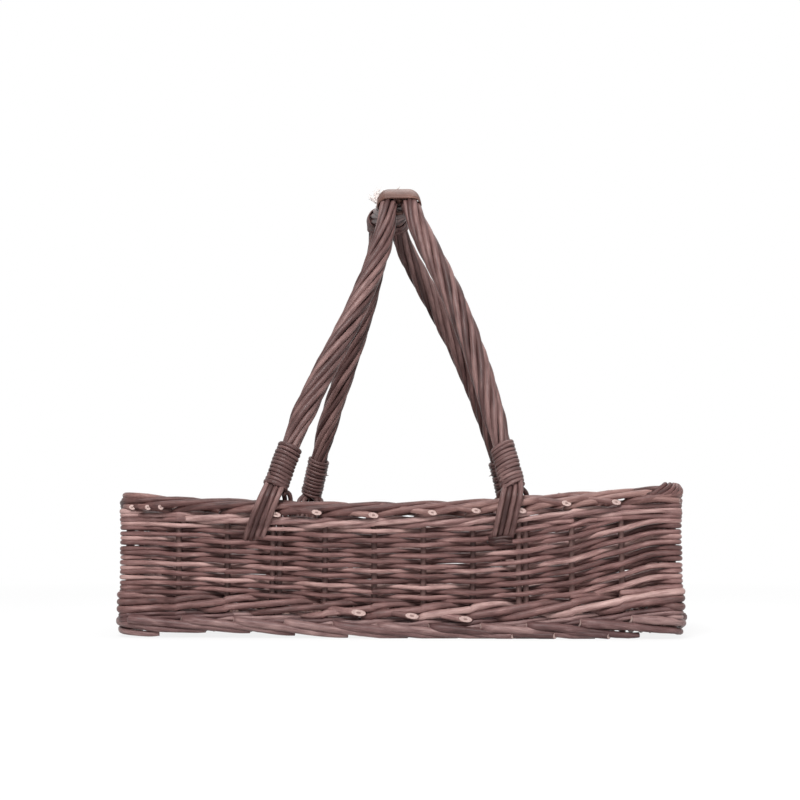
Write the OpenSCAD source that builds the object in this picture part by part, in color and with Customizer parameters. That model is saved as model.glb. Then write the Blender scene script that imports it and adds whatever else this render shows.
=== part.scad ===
// Rectangular willow trug: a woven tray with two roped hoop handles that meet and are bound at the top.
// Millimetres. X runs along the tray, the front is towards -Y, and the tray stands on Z = 0.

/* [Tray] */
// Length between the corner posts, axis to axis
tray_length = 524.6; // [400:0.1:700]
// Depth between the corner posts, axis to axis
tray_depth = 302; // [240:1:420]
// Spaces between the stakes of a long wall
long_bays = 11; // [8:1:13]
// Spaces between the stakes of a short wall
short_bays = 6; // [5:1:8]
// Rows of single weaving in each wall
weave_rows = 14; // [6:1:20]
// Rods in the thick band of weaving at the foot of each wall
lower_wale_rods = 3; // [2:1:4]
// Rods in the thin band of weaving under the rim
upper_wale_rods = 2; // [1:1:3]

/* [Willow rods] */
// Diameter of a stake
stake_d = 6; // [4:0.1:8]
// Diameter of a corner post
post_d = 9; // [6:0.1:12]
// Diameter of a rod in the single weaving
weaver_d = 4.2; // [3:0.1:6]
// Diameter of a rod in the lower wale
lower_wale_d = 7.3; // [5:0.1:9]
// Diameter of a rod in the upper wale
upper_wale_d = 4.6; // [3:0.1:6]
// Diameter of a rim rod
rim_rod_d = 7.2; // [5:0.1:9]
// Diameter of a foot rod
foot_rod_d = 9; // [6:0.1:11]
// Clearance between rods that lie on each other
rod_gap = 0.4; // [0.3:0.05:0.6]
// Clearance where a rod bends round a stake
bend_gap = 0.6; // [0.5:0.05:1]
// Spacing of the two stakes of a pair, axis to axis
pair_spacing = 6.6; // [6.4:0.1:9]
// Number of bays from a corner to a paired stake, where a handle leg comes down
pair_bay = 3; // [2:1:4]

/* [Foot and rim] */
// Depth of the flat that is cut on the lowest foot rods
foot_flat = 0.5; // [0.3:0.1:1]
// Bays that one foot rod spans
foot_bays = 1.5; // [1.2:0.1:2]
// Rise of a rim rod from its cut end to its tucked end
rim_rise = 8; // [5:0.5:10]
// How far the rim stands out from the stake line
rim_overhang = 14.2; // [11:0.1:18]

/* [Base] */
// Height of the underside of the base
base_z = 4; // [2:0.5:8]
// Thickness of the woven base
base_t = 12; // [11:0.5:18]
// Diameter of a base stick
base_stick_d = 8; // [5:0.1:9]
// Number of base sticks
base_sticks_n = 7; // [5:1:9]
// Depth of the hollows between the base sticks, on each face
base_hollow = 3.4; // [1:0.1:3.6]
// Width of an open gap between base rods
base_gap_w = 2.6; // [2:0.1:6]
// Length of an open gap between base rods
base_gap_l = 22; // [16:1:25]
// Number of open gaps along the base
base_gaps_n = 12; // [6:1:12]

/* [Handle] */
// Distance between the feet of the two hoops, along the tray
hoop_span = 231; // [160:1:300]
// Sideways shift of the feet of the hoops
hoop_shift = -6; // [-20:1:20]
// How far the middle of a hoop's foot stands out from the stake line
hoop_foot_out = 5; // [3:0.5:8]
// Height of the underside of a leg binding above the rim
hoop_foot_lift = 9; // [8:0.5:16]
// Sideways lean of a hoop's foot, for each millimetre of height
foot_lean_x = 0.25; // [0.15:0.01:0.35]
// Sideways lean of the front left foot, which stands less upright than the others
front_left_lean_x = 0.33; // [0.15:0.01:0.4]
// Inward lean of a hoop's foot, for each millimetre of height
foot_lean_y = 0.27; // [0.15:0.01:0.35]
// Height of the middle of the grip
grip_z = 444; // [380:1:520]
// Length of the straight part of the grip
grip_length = 108; // [80:1:140]
// Sideways shift of the grip
grip_shift = -17; // [-30:1:10]
// Sideways shift of the grip's front end against its back end
grip_skew = 19; // [0:1:30]
// Sideways sway of both hoops just below the front end of the grip
front_sway = 4; // [0:0.5:6]
// Sideways sway of both hoops just below the back end of the grip
back_sway = 2.5; // [0:0.5:6]
// Diameter of a hoop's roped bundle
rope_d = 23; // [18:0.5:28]
// Diameter of the bundle where a leg binding squeezes it
rope_bound_d = 18.6; // [14:0.2:22]
// Rods in a roped bundle
rope_strands = 8; // [6:1:9]
// Length of one full twist of the bundle
rope_lay = 200; // [140:5:300]
// Depth of the grooves between the rods of the bundle
rope_groove = 1.6; // [0.8:0.1:2]

/* [Bindings] */
// Diameter of the rod wound round a leg
leg_binding_d = 3.2; // [2.4:0.1:3.4]
// Pitch of the turns of a leg binding
leg_binding_pitch = 4; // [3.9:0.05:5]
// Turns in a leg binding
leg_binding_turns = 11; // [8:1:12]
// Thickness of the broad band at the front of the grip
band_t = 2; // [1.5:0.1:3]
// Diameter of the fine rod wound round the back of the grip
grip_binding_d = 2; // [1.6:0.1:2.4]
// Pitch of its turns
grip_binding_pitch = 2.6; // [2.5:0.05:3.2]
// Number of its turns
grip_binding_turns = 8; // [5:1:9]
// Clearance between a binding and the bundle under it
binding_gap = 0.3; // [0.2:0.05:0.5]

/* [Leg rods] */
// Diameter of the loose rods between a leg binding and the wall
leg_rod_d = 4.7; // [3.5:0.1:5]
// Rods that pass outside the rim, and as many inside it, at each leg
leg_rods_n = 4; // [3:1:4]
// Height at which the outer rods end
outer_rod_end_z = 93; // [60:1:100]
// Height at which the inner rods end
inner_rod_end_z = 70; // [55:1:90]
// Sideways slant of the outer rods, rim to tip
outer_rod_slant = 14; // [0:1:20]
// Extra slant that splays the two legs of one wall apart
outer_rod_splay = 3.4; // [0:0.1:6]

/* [Hidden] */

// Walls are numbered in the order front, right, back, left
FRONT = 0;
RIGHT = 1;
BACK = 2;
LEFT = 3;
// Signs that name a leg: its hoop along X, and its end of the hoop along Y
LEFT_HOOP = -1;
RIGHT_HOOP = 1;
FRONT_END = -1;
BACK_END = 1;

STAKE_BROWN = "#5b443d";
WEAVER_BROWN = "#6d524a";
WALE_BROWN = "#7a5c52";
ROPE_BROWN = "#63483f";
BINDING_BROWN = "#80604f";
BASE_BROWN = "#66503f";

// Facets of a rod, which is a true cylinder
rod_fn = 24;
// Half the straight run of a woven rod past a stake, as a share of the rod's diameter
bend_flat = 0.6;

// Heights of the courses, from the foot up
foot_drop = foot_bays * (foot_rod_d + rod_gap);
foot_top = foot_drop + foot_rod_d - foot_flat;
lower_wale_z = foot_top + rod_gap;
weave_z = lower_wale_z + lower_wale_rods * (lower_wale_d + rod_gap);
upper_wale_z = weave_z + weave_rows * (weaver_d + rod_gap);
rim_z = upper_wale_z + upper_wale_rods * (upper_wale_d + rod_gap);
rim_top = rim_z + rim_rise + rim_rod_d;
// Inward run of a rim rod, which keeps neighbours one rod and a gap apart, with a little to spare
rim_bays = 2;
rim_slack = 1.02;
rim_run_in = sqrt(pow(rim_bays * (rim_rod_d + rod_gap) * rim_slack, 2) - pow(rim_rise, 2));
rim_inner = rim_overhang - rim_run_in - rim_rod_d;
// Foot rods lie just outside the corner posts
post_clearance = 1.2;
foot_out = (post_d + foot_rod_d) / 2 + post_clearance;

function unit(v) = v / norm(v);
function mix(a, b, t) = a + (b - a) * t;
function smooth(t) = let(u = max(0, min(1, t))) u * u * (3 - 2 * u);
function is_long(side) = side % 2 == 0;
function wall_length(side) = is_long(side) ? tray_length : tray_depth;
function wall_offset(side) = (is_long(side) ? tray_depth : tray_length) / 2;
function wall_bays(side) = is_long(side) ? long_bays : short_bays;
function bay(side) = wall_length(side) / wall_bays(side);
function stake_x(side, i) = -wall_length(side) / 2 + i * bay(side);
function is_corner(side, i) = i == 0 || i == wall_bays(side);
function is_pair(side, i) = is_long(side) && (i == pair_bay || i == wall_bays(side) - pair_bay);

// Puts children on a wall: x along it, outwards is -y, and the stake line is at y = 0
module on_wall(side) {
  rotate([0, 0, 90 * side]) translate([0, -wall_offset(side), 0]) children();
}

// A straight length of rod from a to b
module rod(a, b, d) {
  v = b - a;
  length = norm(v);
  translate(a) rotate([0, acos(v[2] / length), atan2(v[1], v[0])])
    cylinder(d = d, h = length, $fn = rod_fn);
}

// How far a rod of diameter d stands off the stake line where it passes stake i
function standoff(side, i, d) =
  (d + (is_corner(side, i) ? post_d : stake_d)) / 2 + bend_gap
  + (is_pair(side, i) ? pair_spacing * (stake_d + d + 2 * bend_gap) / bay(side) / 2 : 0);

// The side of stake i that a rod passes: -1 outside, 1 inside. A rod goes behind every step-th stake
function passing(i, first, step) = (i + first) % step == 0 ? 1 : -1;

// The line of one woven rod along its wall. It runs straight past each stake, and its ends
// reach past the corner posts on a long wall and stop short of the long walls' rods on a short wall
function course_line(side, d, first, step) =
  let(
    n = wall_bays(side),
    flat = [bend_flat * d, 0],
    at = function(i) [stake_x(side, i), passing(i, first, step) * standoff(side, i, d)],
    past = [post_d / 2 + d, 0],
    inset = (past[0] + bend_gap + rod_gap) / bay(side),
    start = is_long(side) ? [at(0) - past, at(0) + flat] : [mix(at(0), at(1), inset)],
    end = is_long(side) ? [at(n) - flat, at(n) + past] : [mix(at(n), at(n - 1), inset)]
  )
  concat(start, [for (i = [1 : n - 1]) each [at(i) - flat, at(i) + flat]], end);

// A rod that bends round the stakes, drawn with a square section
module bent_strip(line, d) {
  half = [0, d / 2];
  n = len(line);
  linear_extrude(d)
    polygon(concat([for (p = line) p - half], [for (i = [n - 1 : -1 : 0]) line[i] + half]));
}

// Rods woven one above the other, each a stake later than the one below
module courses(side, d, rods, step, z) {
  on_wall(side)
    for (k = [0 : rods - 1])
      translate([0, 0, z + k * (d + rod_gap)]) bent_strip(course_line(side, d, k, step), d);
}

module stakes(side) {
  low = base_z;
  height = rim_z - rod_gap - low;
  color(STAKE_BROWN) on_wall(side)
    for (i = [1 : wall_bays(side) - 1])
      for (x = is_pair(side, i) ? [-pair_spacing / 2, pair_spacing / 2] : [0])
        translate([stake_x(side, i) + x, 0, low]) cylinder(d = stake_d, h = height, $fn = rod_fn);
}

module corner_posts() {
  height = rim_z - rod_gap - base_z;
  color(STAKE_BROWN)
    for (x = [-tray_length / 2, tray_length / 2], y = [-tray_depth / 2, tray_depth / 2])
      translate([x, y, base_z]) cylinder(d = post_d, h = height, $fn = rod_fn);
}

module weave(side) {
  color(WEAVER_BROWN) courses(side, weaver_d, weave_rows, 2, weave_z);
}

module lower_wale(side) {
  color(WALE_BROWN) courses(side, lower_wale_d, lower_wale_rods, 3, lower_wale_z);
}

module upper_wale(side) {
  color(WALE_BROWN) courses(side, upper_wale_d, upper_wale_rods, 3, upper_wale_z);
}

// The room that one wall's rods have between the mitres at its two corners, above z
module mitred(side, z, height) {
  half = wall_length(side) / 2 - rod_gap / 2;
  reach = 2 * rim_overhang;
  intersection() {
    children();
    translate([0, 0, z]) linear_extrude(height)
      polygon([[-half - reach, -reach], [half + reach, -reach], [half - reach, reach], [-half + reach, reach]]);
  }
}

// Rods laid one after the other at a regular pitch, each leaning the same way, cut at the corners
module laid_rods(side, d, from_point, to_point, bays, z, height) {
  on_wall(side) mitred(side, z, height)
    for (i = [-ceil(bays) : wall_bays(side)])
      translate([stake_x(side, i), 0, 0]) rod(from_point, to_point, d);
}

module rim(side) {
  low = rim_z + rim_rod_d / 2;
  outer = -rim_overhang + rim_rod_d / 2;
  color(WALE_BROWN) laid_rods(
    side, rim_rod_d, [0, outer, low], [rim_bays * bay(side), outer + rim_run_in, low + rim_rise],
    rim_bays, rim_z - rim_rod_d, rim_rise + 3 * rim_rod_d);
}

module foot(side) {
  low = foot_rod_d / 2 - foot_flat;
  color(WALE_BROWN) laid_rods(
    side, foot_rod_d, [0, -foot_out, low + foot_drop], [foot_bays * bay(side), -foot_out, low],
    foot_bays, 0, foot_top + foot_rod_d);
}

base_length = tray_length - stake_d - 2 * rod_gap;
base_depth = tray_depth - stake_d - 2 * rod_gap;
base_stick_pitch = base_depth / base_sticks_n;

// Draws children at each base stick
module at_base_sticks() {
  for (i = [0 : base_sticks_n - 1])
    translate([0, (i - (base_sticks_n - 1) / 2) * base_stick_pitch, base_z + base_t / 2])
      rotate([0, 90, 0]) children();
}

// How far a cutting tool reaches past what it cuts
cut_past = 1;

// How far from a base stick the hollow beside it starts
hollow_margin = 1.2;

// The base's section across its sticks. It is thinner between them, where its rods cross
module base_section() {
  half = base_t / 2;
  brink = (base_stick_pitch - base_stick_d) / 2 - hollow_margin;
  floor_half = brink / 2;
  top = [
    [-base_depth / 2, half],
    for (i = [1 : base_sticks_n - 1])
      let(y = (i - base_sticks_n / 2) * base_stick_pitch)
      each [[y - brink, half], [y - floor_half, half - base_hollow],
            [y + floor_half, half - base_hollow], [y + brink, half]],
    [base_depth / 2, half]
  ];
  polygon(concat(top, [for (i = [len(top) - 1 : -1 : 0]) [top[i].x, -top[i].y]]));
}

// Draws children at each open gap between base rods
module at_base_gaps() {
  for (i = [1 : base_sticks_n - 1], k = [0 : base_gaps_n - 1])
    translate([(k - (base_gaps_n - 1) / 2) * base_length / base_gaps_n,
               (i - base_sticks_n / 2) * base_stick_pitch, base_z + base_t / 2]) children();
}

// The woven base, with its corners cut away round the corner posts
module base_weave() {
  corner = (post_d - stake_d) / 2 + post_d / 2 + rod_gap;
  stick_cut = base_length + 2 * cut_past;
  through_cut = base_t + 2 * cut_past;
  color(BASE_BROWN) difference() {
    translate([0, 0, base_z + base_t / 2])
      rotate([90, 0, 90]) linear_extrude(height = base_length, center = true) base_section();
    at_base_sticks() cylinder(d = base_stick_d + rod_gap, h = stick_cut, center = true, $fn = rod_fn);
    at_base_gaps() cube([base_gap_w, base_gap_l, through_cut], center = true);
    for (x = [-1, 1], y = [-1, 1])
      translate([x * tray_length / 2, y * tray_depth / 2, base_z - cut_past])
        cylinder(r = corner, h = through_cut, $fn = rod_fn);
  }
}

module base_sticks() {
  color(STAKE_BROWN) at_base_sticks() cylinder(d = base_stick_d, h = base_length, center = true, $fn = rod_fn);
}

// A closed tube through a list of rings, each a list of as many points
module ring_tube(rings) {
  n = len(rings[0]);
  last = len(rings) - 1;
  sides = [
    for (r = [0 : last - 1], k = [0 : n - 1])
      let(a = r * n + k, b = r * n + (k + 1) % n)
      each [[a, a + n, b], [b, a + n, b + n]]
  ];
  polyhedron(
    points = [for (ring = rings) each ring],
    faces = concat([[for (k = [0 : n - 1]) k]], sides, [[for (k = [n - 1 : -1 : 0]) last * n + k]]),
    convexity = 10);
}

// Direction of a path at point i
function heading(path, i) = unit(path[min(i + 1, len(path) - 1)] - path[max(i - 1, 0)]);
// Two directions square to v: the first lies as near to X as it can
function across(v) = let(n = unit([1, 0, 0] - v[0] * v)) [n, cross(v, n)];
// Distance along a path to point i
function run_to(path, i) = i == 0 ? 0 : norm(path[i] - path[i - 1]) + run_to(path, i - 1);
function cubic(a, b, c, d, t) = mix(mix(mix(a, b, t), mix(b, c, t), t), mix(mix(b, c, t), mix(c, d, t), t), t);

// The points that shape one leg: its foot, the top of its binding, its shoulder and its end of the grip
binding_length = leg_binding_turns * leg_binding_pitch;
bound_length = binding_length + 2 * leg_binding_d;
bar_gap = rod_gap;
shoulder_drop = 19;
shoulder_out = 19;
shoulder_spread = 4;
elbow_out = 13;
function lean_x(hoop, end) = hoop == LEFT_HOOP && end == FRONT_END ? front_left_lean_x : foot_lean_x;
function leg_lean(hoop, end) = unit([-hoop * lean_x(hoop, end), -end * foot_lean_y, 1]);
function leg_foot(hoop, end) =
  [hoop_shift + hoop * hoop_span / 2, end * (tray_depth / 2 + hoop_foot_out), rim_top + hoop_foot_lift];
function binding_top(hoop, end) = leg_foot(hoop, end) + leg_lean(hoop, end) * bound_length;
function bar_x(hoop, end) = grip_shift - end * grip_skew / 2 + hoop * (rope_d + bar_gap) / 2;
function bar_end(hoop, end) = [bar_x(hoop, end), end * grip_length / 2, grip_z];
function elbow(hoop, end) = bar_end(hoop, end) + [0, end * elbow_out, 0];
function sway(end) = end == FRONT_END ? front_sway : back_sway;
function shoulder(hoop, end) =
  bar_end(hoop, end) + [hoop * shoulder_spread + sway(end), end * shoulder_out, -shoulder_drop];

// The curved part of a leg, then the bend into the grip. The pulls say how far the leg keeps the
// direction of its foot and of its shoulder, as shares of the distance between them
leg_steps = 16;
bend_steps = 5;
foot_pull = 0.36;
shoulder_pull = 0.18;
function leg_curve(hoop, end) =
  let(
    a = binding_top(hoop, end),
    d = shoulder(hoop, end),
    b = a + leg_lean(hoop, end) * norm(d - a) * foot_pull,
    c = d - unit(elbow(hoop, end) - d) * norm(d - a) * shoulder_pull
  )
  [for (k = [0 : leg_steps]) cubic(a, b, c, d, k / leg_steps)];
function bend_point(hoop, end, t) =
  let(a = shoulder(hoop, end), b = elbow(hoop, end), c = bar_end(hoop, end))
  mix(mix(a, b, t), mix(b, c, t), t);
function bend_curve(hoop, end) = [for (k = [1 : bend_steps]) bend_point(hoop, end, k / bend_steps)];
bound_steps = 4;
function bound_part(hoop, end) =
  [for (k = [0 : bound_steps - 1]) mix(leg_foot(hoop, end), binding_top(hoop, end), k / bound_steps)];
function half_hoop(hoop, end) = concat(bound_part(hoop, end), leg_curve(hoop, end), bend_curve(hoop, end));
function backwards(list) = [for (i = [len(list) - 1 : -1 : 0]) list[i]];
bar_steps = 8;
function hoop_path(hoop) =
  let(a = half_hoop(hoop, FRONT_END), b = half_hoop(hoop, BACK_END))
  concat(
    a,
    [for (k = [1 : bar_steps - 1]) mix(bar_end(hoop, FRONT_END), bar_end(hoop, BACK_END), k / bar_steps)],
    backwards(b));

// The bundle is thinner where it is bound, and swells above the binding over this length
swell_length = 30;
function rope_r(from_end) = mix(rope_bound_d, rope_d, smooth((from_end - bound_length) / swell_length)) / 2;

// A hoop: a bundle of rods, drawn as one fluted tube that twists along its length
module hoop(hoop) {
  path = hoop_path(hoop);
  total = run_to(path, len(path) - 1);
  sides = 2 * rope_strands;
  rings = [
    for (i = [0 : len(path) - 1])
      let(
        run = run_to(path, i),
        square = across(heading(path, i)),
        r = rope_r(min(run, total - run)),
        twist = 360 * run / rope_lay
      )
      [for (k = [0 : sides - 1])
        let(a = 360 * k / sides + twist, s = r - (k % 2 == 0 ? 0 : rope_groove))
        path[i] + s * (cos(a) * square[0] + sin(a) * square[1])]
  ];
  color(ROPE_BROWN) ring_tube(rings);
}

// A round tube that follows a path, which never runs along the direction beside
module tube(path, d, beside, sides) {
  ring_tube([
    for (i = [0 : len(path) - 1])
      let(v = heading(path, i), u = unit(cross(beside, v)), w = cross(v, u))
      [for (k = [0 : sides - 1]) let(a = 360 * k / sides) path[i] + d / 2 * (cos(a) * u + sin(a) * w)]
  ]);
}
// Sides of the tube of a winding, and of a leg rod
winding_sides = 6;
leg_rod_sides = 8;

// A path with a straight length of one tube diameter added at each end
function with_straight_ends(path, d) =
  let(n = len(path))
  concat([path[0] - d * unit(path[1] - path[0])], path, [path[n - 1] + d * unit(path[n - 1] - path[n - 2])]);

// The least gap between turns: points half a turn or more apart along the path are compared
function least_gap(path, loop_steps, d) =
  let(n = len(path), half = floor(loop_steps / 2))
  min([for (i = [0 : n - 1 - half], j = [i + half : min(n - 1, i + 3 * half)]) norm(path[i] - path[j])]) - d;

loop_steps = 12;
module leg_binding(hoop, end) {
  d = leg_binding_d;
  lean = leg_lean(hoop, end);
  square = across(lean);
  r = (rope_bound_d / 2 + binding_gap + d / 2) / cos(180 / loop_steps);
  low = leg_foot(hoop, end) + lean * d;
  winding = [
    for (k = [0 : leg_binding_turns * loop_steps])
      let(a = 360 * k / loop_steps)
      low + lean * leg_binding_pitch * k / loop_steps + r * (cos(a) * square[0] + sin(a) * square[1])
  ];
  path = with_straight_ends(winding, d);
  echo("least gap in a leg binding", least_gap(path, loop_steps, d));
  color(BINDING_BROWN) tube(path, d, lean, winding_sides);
}

// A ring round both bundles at distance r from their middles, with n points round each half
function pair_ring(left, right, v, r, n) =
  let(square = across(v))
  concat(
    [for (k = [0 : n - 1]) let(a = -90 + 180 * k / (n - 1)) right + r * (cos(a) * square[0] + sin(a) * square[1])],
    [for (k = [0 : n - 1]) let(a = 90 + 180 * k / (n - 1)) left + r * (cos(a) * square[0] + sin(a) * square[1])]);

// The broad band folded over the front bend of the grip, round both bundles
band_steps = 4;
band_half_points = 9;
band_from = 0.25;
band_to = 1;
module front_grip_band() {
  r = rope_d / 2 + binding_gap;
  at = function(hoop, k) bend_point(hoop, FRONT_END, mix(band_from, band_to, k / band_steps));
  middles = [for (k = [0 : band_steps]) (at(LEFT_HOOP, k) + at(RIGHT_HOOP, k)) / 2];
  ring = function(k, r)
    pair_ring(at(LEFT_HOOP, k), at(RIGHT_HOOP, k), heading(middles, k), r, band_half_points);
  n = 2 * band_half_points;
  loops = 2 * (band_steps + 1);
  rings = concat(
    [for (k = [0 : band_steps]) ring(k, r + band_t)],
    [for (k = [band_steps : -1 : 0]) ring(k, r)]);
  faces = [
    for (q = [0 : loops - 1], k = [0 : n - 1])
      let(a = q * n + k, b = q * n + (k + 1) % n, c = (q + 1) % loops * n + k, e = (q + 1) % loops * n + (k + 1) % n)
      each [[a, c, b], [b, c, e]]
  ];
  color(BINDING_BROWN) polyhedron(points = [for (ring = rings) each ring], faces = faces, convexity = 6);
}

// The fine winding round both bundles at the back of the grip
pair_half_steps = 8;
module back_grip_binding() {
  d = grip_binding_d;
  r = (rope_d / 2 + binding_gap + d / 2) / cos(90 / pair_half_steps);
  along = unit(bar_end(LEFT_HOOP, BACK_END) - bar_end(LEFT_HOOP, FRONT_END));
  start = -grip_binding_turns * grip_binding_pitch - 2 * d;
  steps = 2 * pair_half_steps;
  ring = pair_ring(bar_end(LEFT_HOOP, BACK_END), bar_end(RIGHT_HOOP, BACK_END), along, r, pair_half_steps);
  winding = [
    for (k = [0 : grip_binding_turns * steps])
      ring[k % steps] + along * (start + grip_binding_pitch * k / steps)
  ];
  path = with_straight_ends(winding, d);
  echo("least gap in the grip binding", least_gap(path, steps, d));
  color(BINDING_BROWN) tube(path, d, along, winding_sides);
}

// Sideways place of rod k under a leg binding, counted from the middle of the leg
function leg_rod_x(k) = (k - (leg_rods_n - 1) / 2) * (leg_rod_d + rod_gap);
// The top of rod k, which leaves the bundle square to its end face: aside outwards from its middle, down below it
function leg_rod_top(hoop, end, k, aside, down) =
  let(lean = leg_lean(hoop, end), square = across(lean))
  leg_foot(hoop, end) + leg_rod_x(k) * square[0] + end * aside * square[1] - down * lean;
leg_rod_straight = leg_rod_d / 2;
leg_rod_start_z = rim_top + hoop_foot_lift - rod_gap - leg_rod_straight;
weave_face = (stake_d + weaver_d) / 2 + bend_gap + weaver_d / 2;

// The rods that leave a leg and pass over the outside of the rim, to be tucked into the weave
module outer_rods(hoop, end) {
  foot = leg_foot(hoop, end);
  line = tray_depth / 2;
  over = line + rim_overhang + leg_rod_d / 2 + rod_gap;
  tip = line + max(weave_face, rim_overhang - leg_rod_d) + leg_rod_d / 2 + rod_gap;
  slant = end * outer_rod_slant + hoop * outer_rod_splay;
  drop = leg_rod_start_z - outer_rod_end_z;
  at = function(k, y, z)
    [foot[0] + leg_rod_x(k) + slant * (leg_rod_start_z - z) / drop, end * y, z];
  color(ROPE_BROWN)
    for (k = [0 : leg_rods_n - 1])
      tube([
        leg_rod_top(hoop, end, k, leg_rod_d, rod_gap),
        leg_rod_top(hoop, end, k, leg_rod_d, rod_gap + leg_rod_straight),
        at(k, over, rim_top - leg_rod_d / 2),
        at(k, over, rim_z),
        at(k, tip, outer_rod_end_z)
      ], leg_rod_d, [1, 0, 0], leg_rod_sides);
}

// How far the inner rods are splayed at the top of the rim, under it and at their tips
inner_splay = [4.7, 5.6, 6.6];

// The rods that leave a leg and pass behind the rim, splayed to the two sides of the paired stakes
module inner_rods(hoop, end) {
  foot = leg_foot(hoop, end);
  line = tray_depth / 2;
  behind = line + rim_inner - leg_rod_d / 2 - rod_gap;
  tip = min(behind, line - weave_face - leg_rod_d / 2 - rod_gap);
  at = function(k, y, z, splay)
    [foot[0] + leg_rod_x(k) + splay * sign(leg_rod_x(k)), end * y, z];
  color(ROPE_BROWN)
    for (k = [0 : leg_rods_n - 1])
      tube([
        leg_rod_top(hoop, end, k, -leg_rod_d, rod_gap),
        leg_rod_top(hoop, end, k, -leg_rod_d, rod_gap + leg_rod_straight),
        at(k, behind, rim_top + leg_rod_d / 2 + rod_gap, inner_splay[0]),
        at(k, tip, rim_z, inner_splay[1]),
        at(k, tip, inner_rod_end_z, inner_splay[2])
      ], leg_rod_d, [1, 0, 0], leg_rod_sides);
}

base_weave();
base_sticks();
corner_posts();
stakes(FRONT);  // front_stakes
stakes(RIGHT);  // right_stakes
stakes(BACK);  // back_stakes
stakes(LEFT);  // left_stakes
weave(FRONT);  // front_weave
weave(RIGHT);  // right_weave
weave(BACK);  // back_weave
weave(LEFT);  // left_weave
lower_wale(FRONT);  // front_lower_wale
lower_wale(RIGHT);  // right_lower_wale
lower_wale(BACK);  // back_lower_wale
lower_wale(LEFT);  // left_lower_wale
upper_wale(FRONT);  // front_upper_wale
upper_wale(RIGHT);  // right_upper_wale
upper_wale(BACK);  // back_upper_wale
upper_wale(LEFT);  // left_upper_wale
rim(FRONT);  // front_rim
rim(RIGHT);  // right_rim
rim(BACK);  // back_rim
rim(LEFT);  // left_rim
foot(FRONT);  // front_foot
foot(RIGHT);  // right_foot
foot(BACK);  // back_foot
foot(LEFT);  // left_foot
hoop(LEFT_HOOP);  // left_hoop
hoop(RIGHT_HOOP);  // right_hoop
leg_binding(LEFT_HOOP, FRONT_END);  // front_left_binding
leg_binding(RIGHT_HOOP, FRONT_END);  // front_right_binding
leg_binding(LEFT_HOOP, BACK_END);  // back_left_binding
leg_binding(RIGHT_HOOP, BACK_END);  // back_right_binding
outer_rods(LEFT_HOOP, FRONT_END);  // front_left_outer_rods
outer_rods(RIGHT_HOOP, FRONT_END);  // front_right_outer_rods
outer_rods(LEFT_HOOP, BACK_END);  // back_left_outer_rods
outer_rods(RIGHT_HOOP, BACK_END);  // back_right_outer_rods
inner_rods(LEFT_HOOP, FRONT_END);  // front_left_inner_rods
inner_rods(RIGHT_HOOP, FRONT_END);  // front_right_inner_rods
inner_rods(LEFT_HOOP, BACK_END);  // back_left_inner_rods
inner_rods(RIGHT_HOOP, BACK_END);  // back_right_inner_rods
front_grip_band();
back_grip_binding();
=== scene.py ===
"""Looks of a woven willow trug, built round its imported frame. Metres, the front is towards -Y."""

import math

import bpy
import numpy as np
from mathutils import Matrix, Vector


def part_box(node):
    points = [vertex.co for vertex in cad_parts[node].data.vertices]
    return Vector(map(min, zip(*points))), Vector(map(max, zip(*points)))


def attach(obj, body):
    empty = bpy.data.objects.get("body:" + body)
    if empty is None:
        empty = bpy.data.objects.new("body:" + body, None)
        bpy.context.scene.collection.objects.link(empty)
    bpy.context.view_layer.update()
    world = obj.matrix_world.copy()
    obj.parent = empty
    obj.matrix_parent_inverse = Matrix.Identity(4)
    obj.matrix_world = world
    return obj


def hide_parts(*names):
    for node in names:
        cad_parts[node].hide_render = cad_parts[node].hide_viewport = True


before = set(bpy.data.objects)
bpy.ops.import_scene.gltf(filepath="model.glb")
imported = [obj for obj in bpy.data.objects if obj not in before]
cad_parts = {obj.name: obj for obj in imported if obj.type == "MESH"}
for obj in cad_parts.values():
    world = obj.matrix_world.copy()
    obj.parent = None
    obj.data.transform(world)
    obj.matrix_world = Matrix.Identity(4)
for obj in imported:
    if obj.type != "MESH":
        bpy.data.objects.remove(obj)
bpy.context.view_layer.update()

# Sizes that repeat those of the frame
LONG_BAYS, SHORT_BAYS = 11, 6
PAIR_BAY = 3
PAIR_SPACING = 0.0066
STAKE_R = 0.003
POST_R = 0.0045
WEAVE_ROWS = 14
BASE_STICKS = 7

# Sizes read from the frame
post_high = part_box("corner_posts")[1]
HALF_X = post_high.x - POST_R
HALF_Y = post_high.y - POST_R
WEAVE_LOW, WEAVE_HIGH = (corner.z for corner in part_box("front_weave"))
WALE_LOW, WALE_HIGH = (corner.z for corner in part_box("front_lower_wale"))
UPPER_LOW, UPPER_HIGH = (corner.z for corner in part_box("front_upper_wale"))
RIM_LOW, RIM_HIGH = (corner.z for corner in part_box("front_rim"))
FOOT_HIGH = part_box("front_foot")[1].z
BASE_LOW, BASE_HIGH = (corner.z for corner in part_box("base_weave"))
RIM_OUT = -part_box("front_rim")[0].y - HALF_Y
FOOT_OUT = 0.0102
LONG_BAY = 2 * HALF_X / LONG_BAYS

Z_AXIS = np.array((0.0, 0.0, 1.0))
X_AXIS = np.array((1.0, 0.0, 0.0))

SENSOR_WIDTH, LENS = 36, 73.4
CAMERA_PLACE, CAMERA_AIM = (0.083, -1.735, 0.098), (0.002, -0.165, 0.229)


def aimed_object(name, data, place, aim):
    """Puts a camera or a lamp at a place and turns it towards another."""
    item = bpy.data.objects.new(name, data)
    item.location = place
    item.rotation_euler = (Vector(aim) - Vector(place)).to_track_quat("-Z", "Y").to_euler()
    bpy.context.scene.collection.objects.link(item)
    return item


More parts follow.
